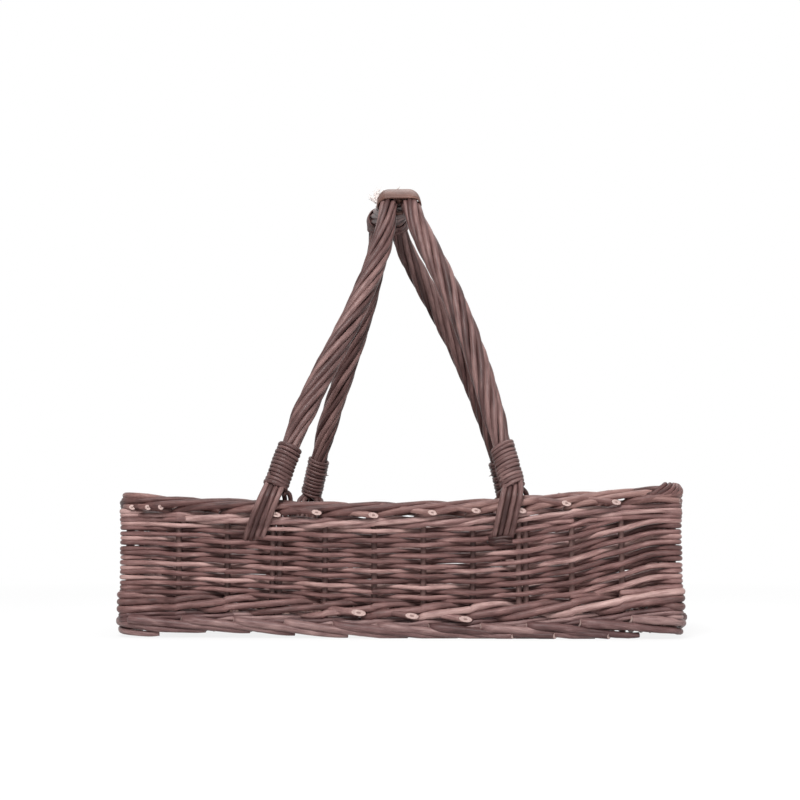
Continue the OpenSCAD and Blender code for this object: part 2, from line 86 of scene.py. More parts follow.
def make_camera():
    """The photograph's view: a little right of the middle, at the height of the rim."""
    data = bpy.data.cameras.new("camera")
    data.sensor_width = SENSOR_WIDTH
    data.lens = LENS
    bpy.context.scene.camera = aimed_object("camera", data, CAMERA_PLACE, CAMERA_AIM)


def wall_nodes(part):
    """The CAD nodes of one kind, in the order of the walls round the tray."""
    return [f"{wall}_{part}" for wall in ("front", "right", "back", "left")]


# Small helpers for points and curves

def mix(a, b, t):
    return a + (b - a) * t


def bezier(t, *points):
    """A curve from the first point to the last, pulled by those between."""
    while len(points) > 1:
        points = [mix(a, b, t) for a, b in zip(points, points[1:])]
    return points[0]


def smooth(t):
    t = np.clip(t, 0, 1)
    return t * t * (3 - 2 * t)


def unit(v):
    v = np.asarray(v, float)
    return v / np.linalg.norm(v, axis=-1, keepdims=True)


def smooth_path(points, per):
    """A smooth curve through the points, with that many steps between each two of them."""
    p = np.array(points, float)
    p = np.vstack([2 * p[0] - p[1], p, 2 * p[-1] - p[-2]])
    knots = np.concatenate([[0], np.cumsum(np.sqrt(np.linalg.norm(np.diff(p, axis=0), axis=1)))])
    share = np.linspace(0, 1, per, endpoint=False)[:, None]
    parts = []
    for i in range(1, len(p) - 2):
        t0, t1, t2, t3 = knots[i - 1:i + 3]
        t = mix(t1, t2, share)
        a1 = mix(p[i - 1], p[i], (t - t0) / (t1 - t0))
        a2 = mix(p[i], p[i + 1], (t - t1) / (t2 - t1))
        a3 = mix(p[i + 1], p[i + 2], (t - t2) / (t3 - t2))
        b1 = mix(a1, a2, (t - t0) / (t2 - t0))
        b2 = mix(a2, a3, (t - t1) / (t3 - t1))
        parts.append(mix(b1, b2, (t - t1) / (t2 - t1)))
    return np.vstack(parts + [p[-2:-1]])


def run_along(path):
    """Distance along a path to each of its points."""
    return np.concatenate([[0], np.cumsum(np.linalg.norm(np.diff(path, axis=0), axis=1))])


def tangents(path):
    return unit(np.gradient(path, axis=0))


def square_to(direction):
    """Two directions square to each given one: the first lies as near to X as it can."""
    near_x = unit(X_AXIS - direction[..., :1] * direction)
    return near_x, np.cross(direction, near_x)


def round_about(angle, first, second):
    """The way at each angle, from the first direction round towards the second."""
    return np.cos(angle)[:, None] * first + np.sin(angle)[:, None] * second


def wander(rng, t, waves, amount):
    """A smooth random value along t, with a few waves in each unit of t."""
    total = np.zeros_like(t, dtype=float)
    for k in range(4):
        total += np.sin(2 * math.pi * (waves * rng.uniform(0.5, 1.6) * t + rng.random()))
    return amount * total / 2


class Rods:
    """Willow rods gathered into one mesh. Each rod has a tone, and a UV map that runs along it."""

    BARK, WOOD, PITH = 0, 1, 2
    WOOD_SHARE, PITH_SHARE = 0.9, 0.3
    SWELL, SWELL_LENGTH = 0.035, 0.06
    BUD_RISE, BUD_LENGTH, BUD_SPACING = 0.07, 0.002, 0.05
    STEEPEST_CUT, CUT_REACH = 0.3, 3

    def __init__(self, name, seed):
        self.name = name
        self.rng = np.random.default_rng(seed)
        self.points = []
        self.faces = []
        self.face_uv = []
        self.face_slot = []
        self.tones = []
        self.count = 0

    def taper(self, path, thick, thin):
        """Radius along a path, from its thick end to its thin one, with swellings and buds."""
        run = run_along(path)
        radius = mix(thick, thin, run / run[-1])
        radius = radius * (1 + wander(self.rng, run / self.SWELL_LENGTH, 1, self.SWELL))
        for _ in range(int(run[-1] / self.BUD_SPACING)):
            bud = self.rng.uniform(0, run[-1])
            radius = radius * (1 + self.BUD_RISE * np.exp(-((run - bud) / self.BUD_LENGTH) ** 2))
        return radius

    def lay(self, path, thick, thin, **how):
        """Adds a rod that tapers."""
        self.add(path, self.taper(path, thick, thin), **how)

    def add(self, path, radius, tone=None, ref=Z_AXIS, sides=10, flat=1.0, cut_start=None, cut_end=None):
        """Adds a rod. flat widens its section across ref. A cut is the way that a sawn end faces."""
        path = np.asarray(path, float)
        tangent = tangents(path)
        side = unit(np.cross(ref, tangent))
        up = np.cross(tangent, side)
        radius = np.broadcast_to(np.asarray(radius, float), len(path))
        tone = self.rng.uniform(0, 1) if tone is None else tone
        angle = np.arange(sides) * 2 * math.pi / sides
        ring = radius[:, None, None] * (
            np.cos(angle)[None, :, None] * side[:, None, :]
            + flat * np.sin(angle)[None, :, None] * up[:, None, :])
        run = run_along(path)
        if cut_start is not None:
            self.slant(ring, -tangent, run, unit(cut_start))
        if cut_end is not None:
            self.slant(ring[::-1], tangent[::-1], (run[-1] - run)[::-1], unit(cut_end))
        self.skin(path[:, None, :] + ring, path, tone, cut_start is not None, cut_end is not None)

    def skin(self, points, path, tone, sawn_start=False, sawn_end=False):
        """Closes rings of points, each of them round its point of the path, into one rod."""
        first, last, sides = self.count, len(path) - 1, points.shape[1]
        self.points.append(points.reshape(-1, 3))
        self.count += len(path) * sides
        self.sleeve(first, len(path), sides, run_along(path))
        self.tones.append(np.full(len(path) * sides, tone))
        self.cap(first, sides, path[0], points[0], tone, sawn_start, True)
        self.cap(first + last * sides, sides, path[-1], points[-1], tone, sawn_end, False)

    def slant(self, ring, outward, run, cut):
        """Shears the first rings of an end, so that it faces the way of its cut."""
        along = max(float(np.dot(outward[0], cut)), self.STEEPEST_CUT)
        shift = -(ring[0] @ cut) / along
        reach = min(self.CUT_REACH * np.abs(shift).max(), run[-1] / 2)
        share = np.clip(1 - run / reach, 0, 1)
        ring += (share[:, None] * shift[None, :])[:, :, None] * outward[:, None, :]

    def sleeve(self, first, rings, sides, run):
        for r in range(rings - 1):
            for k in range(sides):
                a = first + r * sides + k
                b = first + r * sides + (k + 1) % sides
                self.faces.append((a, b, b + sides, a + sides))
                u0, u1 = k / sides, (k + 1) / sides
                self.face_uv.append(((u0, run[r]), (u1, run[r]), (u1, run[r + 1]), (u0, run[r + 1])))
                self.face_slot.append(self.BARK)

    def cap(self, first, sides, middle, ring, tone, sawn, flip):
        """Closes an end: plain, or sawn with bark, pale wood and a darker pith."""
        rims = ((self.WOOD_SHARE, self.BARK), (self.PITH_SHARE, self.WOOD)) if sawn else ()
        outer = first
        for share, slot in rims:
            inner = self.count
            self.points.append(middle + (ring - middle) * share)
            self.tones.append(np.full(sides, tone))
            self.count += sides
            for k in range(sides):
                n = (k + 1) % sides
                self.end_face((outer + k, outer + n, inner + n, inner + k), slot, flip)
            outer = inner
        centre = self.count
        self.points.append(np.array([middle]))
        self.tones.append(np.array([tone]))
        self.count += 1
        for k in range(sides):
            corners = (outer + k, outer + (k + 1) % sides, centre)
            self.end_face(corners, self.PITH if sawn else self.BARK, flip)

    def end_face(self, corners, slot, flip):
        self.faces.append(corners[::-1] if flip else corners)
        self.face_uv.append(tuple((0.1 * i, 0.0) for i in range(len(corners))))
        self.face_slot.append(slot)

    def build(self, materials, slot, *nodes):
        """Makes the mesh object, which rides on the one body and stands for the CAD nodes."""
        mesh = bpy.data.meshes.new(self.name)
        mesh.from_pydata(np.vstack(self.points).tolist(), [], self.faces)
        uv = mesh.uv_layers.new(name="rod")
        flat_uv = [value for corners in self.face_uv for corner in corners for value in corner]
        uv.data.foreach_set("uv", flat_uv)
        tone = mesh.attributes.new("tone", "FLOAT", "POINT")
        tone.data.foreach_set("value", np.concatenate(self.tones))
        for material in materials:
            mesh.materials.append(material)
        mesh.polygons.foreach_set("material_index", self.face_slot)
        mesh.polygons.foreach_set("use_smooth", [s == self.BARK for s in self.face_slot])
        mesh.update()
        piece = bpy.data.objects.new(self.name, mesh)
        bpy.context.scene.collection.objects.link(piece)
        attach(piece, "root")
        if nodes:
            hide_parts(*nodes)


# Materials

def srgb(red, green, blue):
    """A colour written as on a screen, 0 to 255, as linear light."""
    parts = []
    for value in (red, green, blue):
        v = value / 255
        parts.append(v / 12.92 if v <= 0.04045 else ((v + 0.055) / 1.055) ** 2.4)
    return (*parts, 1.0)


class Nodes:
    """Short ways to add nodes to a material or to the world."""

    def __init__(self, owner):
        owner.use_nodes = True
        self.owner = owner
        self.tree = owner.node_tree
        self.shader = self.tree.nodes.get("Principled BSDF")

    def feed(self, socket, value):
        """Sets a socket, or joins the output of another node to it."""
        if isinstance(value, bpy.types.NodeSocket):
            self.tree.links.new(value, socket)
        else:
            socket.default_value = value

    def add(self, kind, inputs=(), **settings):
        """A new node. inputs holds pairs of a socket and what feeds it."""
        node = self.tree.nodes.new("ShaderNode" + kind)
        for key, value in settings.items():
            setattr(node, key, value)
        for socket, value in inputs:
            self.feed(node.inputs[socket], value)
        return node

    def math(self, operation, *values, clamp=False):
        return self.add("Math", enumerate(values), operation=operation, use_clamp=clamp).outputs[0]

    def noise(self, vector, scale, detail=2.0, roughness=0.5):
        inputs = (("Scale", scale), ("Detail", detail), ("Roughness", roughness), ("Vector", vector))
        return self.add("TexNoise", inputs).outputs["Fac"]

    def ramp(self, value, places, colours):
        node = self.add("ValToRGB", ((0, value),))
        elements = node.color_ramp.elements
        while len(elements) < len(places):
            elements.new(0.5)
        for element, place, colour in zip(elements, places, colours):
            element.position = place
            element.color = colour
        return node.outputs["Color"]

    def tone(self):
        return self.add("Attribute", attribute_name="tone").outputs["Fac"]

    def place(self):
        return self.add("TexCoord").outputs["Object"]

    def rod_space(self, radius, along):
        """Coordinates that wrap round a rod and run along it, shifted for each rod by its tone."""
        split = self.add("SeparateXYZ", ((0, self.add("UVMap", uv_map="rod").outputs[0]),))
        angle = self.math("MULTIPLY", split.outputs[0], 2 * math.pi)
        shift = self.math("MULTIPLY", self.tone(), TONE_SHIFT)
        joined = self.add("CombineXYZ", (
            (0, self.math("MULTIPLY", self.math("COSINE", angle), radius)),
            (1, self.math("MULTIPLY", self.math("SINE", angle), radius)),
            (2, self.math("ADD", self.math("MULTIPLY", split.outputs[1], along), shift))))
        return joined.outputs[0]

    def bump(self, height, strength, distance):
        node = self.add("Bump", (("Strength", strength), ("Distance", distance), ("Height", height)))
        self.feed(self.shader.inputs["Normal"], node.outputs[0])


TONE_SHIFT = 57.0
TONE_SHARE, PALE_SHIFT = 0.46, 0.27
BLOTCH_SHARE, STREAK_SHARE, SPECK_SHARE = 0.9, 0.75, 0.25
SPECK_SCALE = 1400.0
STREAK_ROUGHNESS, BARK_SHINE = 0.3, 0.22
BARK_RELIEF, WOOD_RELIEF = 0.0005, 0.0004


def bark_material(name, tones, rough, grain):
    """Stained willow bark: a tone for each rod, blotches, fine streaks along it and worn spots."""
    n = Nodes(bpy.data.materials.new(name))
    streaks = n.noise(n.rod_space(1.0, 14.0), 6.0, 3.0, 0.6)
    blotches = n.noise(n.rod_space(0.4, 26.0), 1.6)
    specks = n.noise(n.place(), SPECK_SCALE)
    value = n.math("MULTIPLY", n.tone(), TONE_SHARE)
    for pattern, share in ((blotches, BLOTCH_SHARE), (streaks, STREAK_SHARE * grain), (specks, SPECK_SHARE)):
        value = n.math("ADD", value, n.math("MULTIPLY", n.math("SUBTRACT", pattern, 0.5), share))
    value = n.math("ADD", value, PALE_SHIFT, clamp=True)
    n.feed(n.shader.inputs["Base Color"], n.ramp(value, (0.0, 0.5, 1.0), tones))
    roughness = n.math("ADD", n.math("MULTIPLY", streaks, STREAK_ROUGHNESS), rough - STREAK_ROUGHNESS / 2)
    n.feed(n.shader.inputs["Roughness"], roughness)
    n.shader.inputs["Specular IOR Level"].default_value = BARK_SHINE
    n.bump(n.math("ADD", streaks, n.math("MULTIPLY", specks, 0.4)), 0.5 * grain, BARK_RELIEF)
    return n.owner


def end_material(name, dark, light, scale):
    """A sawn end: pale wood or pith, flecked by the saw."""
    n = Nodes(bpy.data.materials.new(name))
    flecks = n.noise(n.place(), scale, 4.0, 0.7)
    n.feed(n.shader.inputs["Base Color"], n.ramp(flecks, (0.3, 0.7), (srgb(*dark), srgb(*light))))
    n.shader.inputs["Roughness"].default_value = 0.8
    n.bump(flecks, 0.6, WOOD_RELIEF)
    return n.owner


WOOD = end_material("sawn_wood", (142, 114, 110), (206, 182, 174), 900.0)
PITH = end_material("sawn_pith", (96, 72, 70), (150, 122, 116), 1200.0)


def rod_materials(name, dark, middle, light, rough=0.42, grain=1.0):
    """A rod's bark, from its darkest to its lightest tone, and its sawn end."""
    tones = [srgb(*tone) for tone in (dark, middle, light)]
    return (bark_material(name, tones, rough, grain), WOOD, PITH)


STAKE_LOOK = rod_materials("bark_stake", (44, 27, 26), (86, 62, 59), (128, 100, 95))
WEAVER_LOOK = rod_materials("bark_weaver", (44, 24, 23), (114, 82, 79), (186, 152, 146))
WALE_LOOK = rod_materials("bark_wale", (46, 26, 25), (118, 87, 84), (188, 156, 150))
FOOT_LOOK = rod_materials("bark_foot", (40, 23, 22), (97, 70, 69), (158, 129, 125))
RIM_LOOK = rod_materials("bark_rim", (40, 22, 21), (97, 67, 64), (152, 119, 112))
ROPE_LOOK = rod_materials("bark_rope", (36, 21, 20), (82, 58, 56), (138, 108, 104), 0.38)
SKEIN_LOOK = rod_materials("bark_skein", (36, 21, 20), (84, 60, 58), (140, 110, 106), 0.34)
BAND_LOOK = rod_materials("bark_band", (60, 39, 33), (94, 66, 58), (128, 97, 87), 0.45, 0.8)
FIBRE_LOOK = rod_materials("pale_fibre", (176, 162, 157), (219, 209, 205), (240, 234, 231), 0.6)
BASE_LOOK = rod_materials("bark_base", (52, 35, 31), (100, 76, 69), (144, 116, 106), 0.55)


# The tray's plan: uprights in order round it, and the sag of its front

WALLS = (
    ((-1, -1), (1, 0), (0, -1), LONG_BAYS),
    ((1, -1), (0, 1), (1, 0), SHORT_BAYS),
    ((1, 1), (-1, 0), (0, 1), LONG_BAYS),
    ((-1, 1), (0, -1), (-1, 0), SHORT_BAYS),
)


def wall_data(wall):
    corner, along, outward, bays = WALLS[wall]
    start = np.array(corner, float) * (HALF_X, HALF_Y)
    length = 2 * (HALF_X if along[0] else HALF_Y)
    return start, np.array(along, float), np.array(outward, float), bays, length


def make_uprights():
    """Each upright: place, way out, radius, is it a post, half the spread of a pair, way along its wall."""
    found = []
    for wall in range(4):
        start, along, outward, bays, length = wall_data(wall)
        before = wall_data((wall - 1) % 4)[2]
        for i in range(bays):
            paired = bays == LONG_BAYS and i in (PAIR_BAY, bays - PAIR_BAY)
            post = i == 0
            out = unit(outward + before) if post else outward
            found.append({
                "place": start + along * length * i / bays, "out": out, "r": POST_R if post else STAKE_R,
                "post": post, "pair": PAIR_SPACING / 2 if paired else 0.0, "along": along,
                "turn": (before, out, outward)})
    return found


UPRIGHTS = make_uprights()
ROUND = len(UPRIGHTS)


def count_stakes():
    """A number for each upright: 0, 1, 2 for the stakes, and halfway between them for the posts."""
    numbers, number = [], -0.5
    for index, upright in enumerate(UPRIGHTS):
        if index:
            number += 0.5 if upright["post"] or UPRIGHTS[index - 1]["post"] else 1
        numbers.append(number)
    return numbers


NUMBERS = count_stakes()
STAKES = sum(not upright["post"] for upright in UPRIGHTS)


def number_of(index):
    return NUMBERS[index % ROUND] + STAKES * (index // ROUND)


def curve_of(*points):
    """A smooth table of values against X, from a few points."""
    return smooth_path(points, 8).T


# How the front wall's courses lie off level, against X: the lower wale's top, then the rim
WALE_LIFT = curve_of((-0.285, 0.0), (-0.262, 0.0), (-0.130, -0.004), (-0.050, -0.008), (0.087, -0.009),
                     (0.200, -0.002), (0.262, 0.003), (0.285, 0.003))
RIM_LIFT = curve_of((-0.285, 0.003), (-0.262, 0.003), (-0.130, -0.0015), (-0.050, -0.004), (0.060, -0.002),
                    (0.150, 0.004), (0.240, 0.009), (0.285, 0.008))
# How far the foot stands off level under the front wall, against X
FOOT_LIFT = curve_of((-0.285, 0.0), (-0.262, 0.0005), (-0.240, 0.001), (-0.200, 0.0052), (-0.150, 0.0055),
                     (-0.095, 0.0025), (-0.040, 0.001), (0.0, 0.0), (0.200, 0.0), (0.226, 0.001),
                     (0.262, 0.0025), (0.285, 0.0025))
# The share of it all that the back wall has
BACK_LIFT_SHARE = 0.35


def lifted(path):
    """Moves points up or down with the courses that they belong to."""
    path = np.array(path, float)
    x, y, z = path.T
    wale_part = np.interp(x, *WALE_LIFT)
    rim_part = np.interp(x, *RIM_LIFT)
    share = np.interp(z, (0, FOOT_HIGH), (0, 1))
    course = mix(wale_part, rim_part, np.interp(z, (WALE_HIGH, RIM_LOW), (0, 1)))
    depth = mix(1.0, BACK_LIFT_SHARE, np.clip((y + HALF_Y) / (2 * HALF_Y), 0, 1))
    path[:, 2] = z + (share * course + (1 - share) * np.interp(x, *FOOT_LIFT)) * depth
    return path


# Rows of single weaving lie level on the left and climb at the right end. There the top rows run out under
# the rim, and as many start above the lower wale
ROW_PITCH = (WEAVE_HIGH - WEAVE_LOW) / WEAVE_ROWS
END_PITCH = (WEAVE_HIGH - WEAVE_LOW) / (WEAVE_ROWS - 1)
MIDDLE_ROW = (WEAVE_ROWS - 1) / 2
FIRST_ROW, LAST_ROW = -4, WEAVE_ROWS - 1
CLIMB_START, CLIMB_LENGTH = 0.10, 0.14
CLIMB = curve_of((-0.30, 0.0), (0.050, 0.0), (0.119, 0.0012), (0.167, 0.0050), (0.215, 0.0140),
                 (0.243, 0.0190), (0.262, 0.0200), (0.290, 0.0200))


def climb_share(x):
    """0 along most of the front, then up to 1 at its right end."""
    return smooth((np.asarray(x) - CLIMB_START) / CLIMB_LENGTH)


def row_z(row, x):
    pitch = mix(ROW_PITCH, END_PITCH, climb_share(x))
    return (WEAVE_LOW + WEAVE_HIGH) / 2 + (row - MIDDLE_ROW) * pitch + np.interp(x, *CLIMB)


def side_of(index, row, step):
    """The side on which a rod passes: 1 outside, -1 inside. It goes behind every step-th stake."""
    if UPRIGHTS[index % ROUND]["post"]:
        return 1
    return -1 if (number_of(index) + row) % step == 0 else 1


# Where a rod runs beside a post: share of the bay from the post, and distance outside the stake line
INTO_POST = ((0.70, -0.0038), (0.34, -0.0034), (0.20, 0.0022))
PAST_POST_LEFT = ((0.66, -0.0004), (0.42, -0.0006))
PAST_POST_RIGHT = ((0.5, 0.0032),)
# Clearance at an upright, what a post has besides, and the share of both kept between two stakes
GAP, POST_GAP = 0.0003, 0.0006
BAY_SHARE = 0.96
# A rod hugs a stake over a short length, as metres and as a share of a bay, and turns round a post
HUG, HUG_SHARE, TURN_SHARE = 0.0012, 0.06, 0.09


def bay_points(here, there, side, next_side, reach):
    """Points of a rod between two uprights: share of the bay, and distance outside the stake line."""
    if here["post"] or there["post"]:
        stake_side = next_side if here["post"] else side
        past = PAST_POST_LEFT if here["place"][0] < 0 else PAST_POST_RIGHT
        points = INTO_POST if stake_side < 0 else past
        if here["post"]:
            return points[::-1]
        return [(1 - share, offset) for share, offset in points]
    return ((0.5, 0.0 if side != next_side else reach * BAY_SHARE),)


def woven_line(first, last, row, step, rod_r):
    """A rod's plan past uprights first to last: points, and at each the upright's number and way out."""
    points, marks, outs = [], [], []

    def put(place, out, offset, mark):
        points.append(place + out * offset)
        marks.append(mark)
        outs.append(out)

    for index in range(first, last + 1):
        here, there = UPRIGHTS[index % ROUND], UPRIGHTS[(index + 1) % ROUND]
        side, next_side = side_of(index, row, step), side_of(index + 1, row, step)
        reach = here["r"] + rod_r + GAP
        if here["post"]:
            for k, out in enumerate(here["turn"]):
                put(here["place"], out, reach + POST_GAP, index + TURN_SHARE * (k - 1))
        else:
            spread = here["along"] * (here["pair"] + HUG)
            for way in (-1, 1):
                put(here["place"] + way * spread, here["out"], side * reach, index + way * HUG_SHARE)
        if index == last:
            break
        leaving = here["turn"][2] if here["post"] else here["out"]
        for share, offset in bay_points(here, there, side, next_side, STAKE_R + rod_r + GAP):
            put(mix(here["place"], there["place"], share), leaving, offset, index + share)
    dense = smooth_path(points, 6)
    known, at = np.arange(len(marks)), np.linspace(0, len(marks) - 1, len(dense))
    out_along = np.column_stack([np.interp(at, known, way) for way in np.array(outs).T])
    return dense, np.interp(at, known, marks), out_along


WEAVER_R = 0.0023
WEAVER_THICK, WEAVER_THIN = (0.0025, 0.0028), (0.0020, 0.0023)
END_SWELL = 0.1
EDGE = 0.0014
ROW_BELOW, ROW_ABOVE = 0.0032, 0.0005
STAKE_DIP = 0.0003
JOIN_LAP, JOIN_TUCK, TUCK_LENGTH = 0.32, 0.003, 0.4
FEWEST_POINTS = 8
# A weaver passes at least the first number of uprights, and fewer than the second
WEAVER_REACH = (8, 13)


def row_span(row):
    """First and last upright of a row: all the way round, or only where the row lies within the weave."""
    low, high = WEAVE_LOW - ROW_BELOW, WEAVE_HIGH + ROW_ABOVE
    inside = [low <= row_z(row, upright["place"][0]) <= high for upright in UPRIGHTS]
    if all(inside):
        return 0, ROUND
    start = next(i for i in range(ROUND) if inside[i] and not inside[i - 1])
    count = 0
    while inside[(start + count) % ROUND]:
        count += 1
    return start - 1, start + count


def side_weave():
    """Single weaving: rods laid end to end in each row, their joins hidden inside."""
    rods = Rods("side_weave_rods", 11)
    rng = rods.rng
    for row in range(FIRST_ROW, LAST_ROW + 1):
        first, last = row_span(row)
        if last - first == ROUND:
            first = int(rng.integers(0, ROUND))
            last = first + ROUND
        plan, index, out = woven_line(first, last, row, 2, WEAVER_R)
        z = row_z(row, plan[:, 0]) + wander(rng, index, 0.16, 0.00045) + wander(rng, index, 0.5, 0.00025)
        z = np.clip(z - STAKE_DIP * np.cos(2 * math.pi * index), WEAVE_LOW - EDGE, WEAVE_HIGH - EDGE)
        plan = plan + out * wander(rng, index, 0.4, 0.0003)[:, None]
        cuts = [first]
        while cuts[-1] < last:
            cuts.append(cuts[-1] + int(rng.integers(*WEAVER_REACH)))
            while side_of(cuts[-1], row, 2) > 0 and cuts[-1] < last:
                cuts[-1] += 1
        cuts[-1] = last
        for begin, end in zip(cuts, cuts[1:]):
            low, high = begin - JOIN_LAP, end + JOIN_LAP
            part = (index >= low) & (index <= high)
            if part.sum() < FEWEST_POINTS:
                continue
            ends = np.minimum(index[part] - low, high - index[part])
            tuck = JOIN_TUCK * (1 - smooth(ends / TUCK_LENGTH))
            path = lifted(np.column_stack([plan[part] - out[part] * tuck[:, None], z[part]]))
            radius = rods.taper(path, rng.uniform(*WEAVER_THICK), rng.uniform(*WEAVER_THIN))
            rods.add(path, radius * (1 + END_SWELL * climb_share(path[:, 0])), sides=9)
    rods.build(WEAVER_LOOK, "weaver", *wall_nodes("weave"))


WALE_STEP = 3
# Each wale rod is three lengths that overlap, from and to these numbers of uprights past its start
WALE_OVERLAPS = ((-0.3, 11.6), (11.0, 22.6), (22.0, ROUND - 0.3))
WALE_START_TUCK, WALE_END_TUCK = 0.003, 0.0045
LOWER_WALE_R, FOOT_WALE_R, UPPER_WALE_R = 0.0037, 0.0029, 0.0028
# Where the cut ends of the front's lower wale show, X and Z, how wide they are and how far out they stand
WALE_ENDS = ((-0.0379, 0.0245), (0.0134, 0.0216), (0.0646, 0.0187))
WALE_END_R, WALE_END_FACING, WALE_END_REACH = 0.0031, 0.36, 0.045
WALE_OUT = STAKE_R + 0.0092


def wale(name, seed, low, high, rod_r, start, behind, look, nodes=(), ends=()):
    """A band of three thick rods. Each climbs outside over two stakes, then goes in behind the third."""
    rods = Rods(name, seed)
    rng = rods.rng
    middle, half = (low + high) / 2, (high - low) / 2 - rod_r
    kernel = np.hanning(9) / np.hanning(9).sum()
    for begin in range(start, start + WALE_STEP):
        row = -int(number_of(begin - 1))
        plan, index, out = woven_line(begin - 1, begin + ROUND, row, WALE_STEP, rod_r)
        whole = np.arange(begin - 1, begin + ROUND + 1)
        phase = (np.interp(index, whole, [number_of(i) for i in whole]) + row) % WALE_STEP
        height = np.interp(phase, (0, 0.5, WALE_STEP - 0.5, WALE_STEP), (behind, -1.0, 1.0, behind))
        height = np.convolve(np.pad(height, 4, mode="edge"), kernel, mode="valid")
        z = middle + half * height + wander(rng, index, 0.2, 0.0006)
        for a, b in WALE_OVERLAPS:
            part = (index >= begin + a) & (index <= begin + b)
            tuck = WALE_START_TUCK * (1 - smooth((index[part] - begin - a) / 0.4))
            tuck = tuck + WALE_END_TUCK * (1 - smooth((begin + b - index[part]) / 0.5))
            path = lifted(np.column_stack([plan[part] - out[part] * tuck[:, None], z[part]]))
            rods.lay(path, rod_r * rng.uniform(1.0, 1.08), rod_r * rng.uniform(0.78, 0.86), sides=14)
    for x, height in ends:
        shown_end(rods, x + HALF_X, height, WALE_END_R, WALE_END_FACING, WALE_END_REACH, WALE_OUT)
    rods.build(look, "wale", *nodes)


def wales():
    """The thick bands below the weave, at the foot and under the rim."""
    wale("lower_wale_rods", 13, WALE_LOW, WALE_HIGH, LOWER_WALE_R, 5, 0.55, WALE_LOOK,
         wall_nodes("lower_wale"), WALE_ENDS)
    wale("foot_wale_rods", 15, BASE_HIGH - 0.002, WALE_LOW + 0.006, FOOT_WALE_R, 13, 0.3, FOOT_LOOK)
    wale("upper_wale_rods", 17, UPPER_LOW - 0.002, UPPER_HIGH + 0.0015, UPPER_WALE_R, 22, -0.3, WALE_LOOK,
         wall_nodes("upper_wale"))


def straight_wobble(rng, low, high, amount, steps=14):
    """A nearly straight rod from low to high."""
    t = np.linspace(0, 1, steps)
    path = mix(np.asarray(low, float), np.asarray(high, float), t[:, None])
    for axis in range(2):
        path[:, axis] += wander(rng, t, 1.0, amount)
    return path


STAKE_TOP = RIM_LOW + 0.003
STAKE_WOBBLE = 0.0002


def stand_rod(rods, place, thick, thin, sides):
    path = straight_wobble(rods.rng, (*place, BASE_LOW), (*place, STAKE_TOP), STAKE_WOBBLE)
    rods.add(lifted(path), rods.taper(path, thick, thin), ref=X_AXIS, sides=sides)


def stakes():
    """The stakes, two together beside a handle's leg, and the corner posts."""
    rods = Rods("side_stake_rods", 23)
    posts = Rods("corner_post_rods", 29)
    for upright in UPRIGHTS:
        if upright["post"]:
            stand_rod(posts, upright["place"], POST_R, POST_R * 0.96, 12)
            continue
        for side in ((-1, 1) if upright["pair"] else (0,)):
            place = upright["place"] + upright["along"] * upright["pair"] * side
            stand_rod(rods, place, STAKE_R * 1.05, STAKE_R * 0.92, 10)
    rods.build(STAKE_LOOK, "stake", *wall_nodes("stakes"))
    posts.build(STAKE_LOOK, "stake", "corner_posts")


# The foot and the rim follow the tray's outline, with rounded corners

CORNER_R = 0.013
SIDES = [2 * HALF_X, 2 * HALF_Y, 2 * HALF_X, 2 * HALF_Y]
PERIMETER = sum(SIDES)


def border_point(run, out):
    """A point of the outline, run metres round it from the front left corner and out metres outside it."""
    run = run % PERIMETER
    wall = 0
    while run > SIDES[wall]:
        run -= SIDES[wall]
        wall += 1
    start, along, outward, _, length = wall_data(wall)
    turn, t = 0.0, run
    if run < CORNER_R:
        turn, t = -(1 - run / CORNER_R), CORNER_R
    elif run > length - CORNER_R:
        turn, t = 1 - (length - run) / CORNER_R, length - CORNER_R
    angle = math.atan2(outward[1], outward[0]) + turn * math.pi / 4
    centre = start + along * t - outward * CORNER_R
    return centre + np.array((math.cos(angle), math.sin(angle))) * (CORNER_R + out)


def border_path(run, out, z, per=7):
    """A path from distances round the outline, how far out and how high."""
    marks = smooth_path(np.column_stack([run, out, z]), per)
    return np.array([(*border_point(r, o), h) for r, o, h in marks])


def bay_starts():
    """Distance round the outline of each upright."""
    starts, before = [], 0.0
    for wall in range(4):
        bays, length = wall_data(wall)[3:]
        starts += [before + length * i / bays for i in range(bays)]
        before += length
    return starts


# A foot rod: shares of its length, how far out it stands there, and the share that it has come down
FOOT_RUN, FOOT_PROUD, FOOT_FALL = np.array((
    (-0.14, -0.02, 0.25, 0.55, 0.8, 0.95, 1.02),
    (-0.006, 0.0008, 0.0012, 0.0002, -0.0012, -0.0022, -0.004),
    (-0.06, 0.0, 0.26, 0.62, 0.9, 1.0, 1.0)))
FOOT_CUT = (-0.9, -0.4, 0.1)
FLOOR_GAP = 0.0001
# The short ends that stand out under the front
TOE_X = (0.110, 0.150, 0.201)
TOE_RUN, TOE_PROUD = np.array(((-0.06, -0.04, -0.015, 0.0), (-0.003, 0.0, 0.0012, 0.0016)))
TOE_Z = (0.011, 0.0088, 0.0052)
TOE_CUT = (0.8, -0.6, -0.2)


def lay_on_floor(rods, run, proud, z, thick, thin, **cut):
    """A foot rod, raised where it would go through the floor."""
    path = lifted(border_path(run, FOOT_OUT + proud, z))
    radius = rods.taper(path, thick, thin) if thin else thick
    path[:, 2] = np.maximum(path[:, 2], radius + FLOOR_GAP)
    rods.add(path, radius, sides=11, **cut)


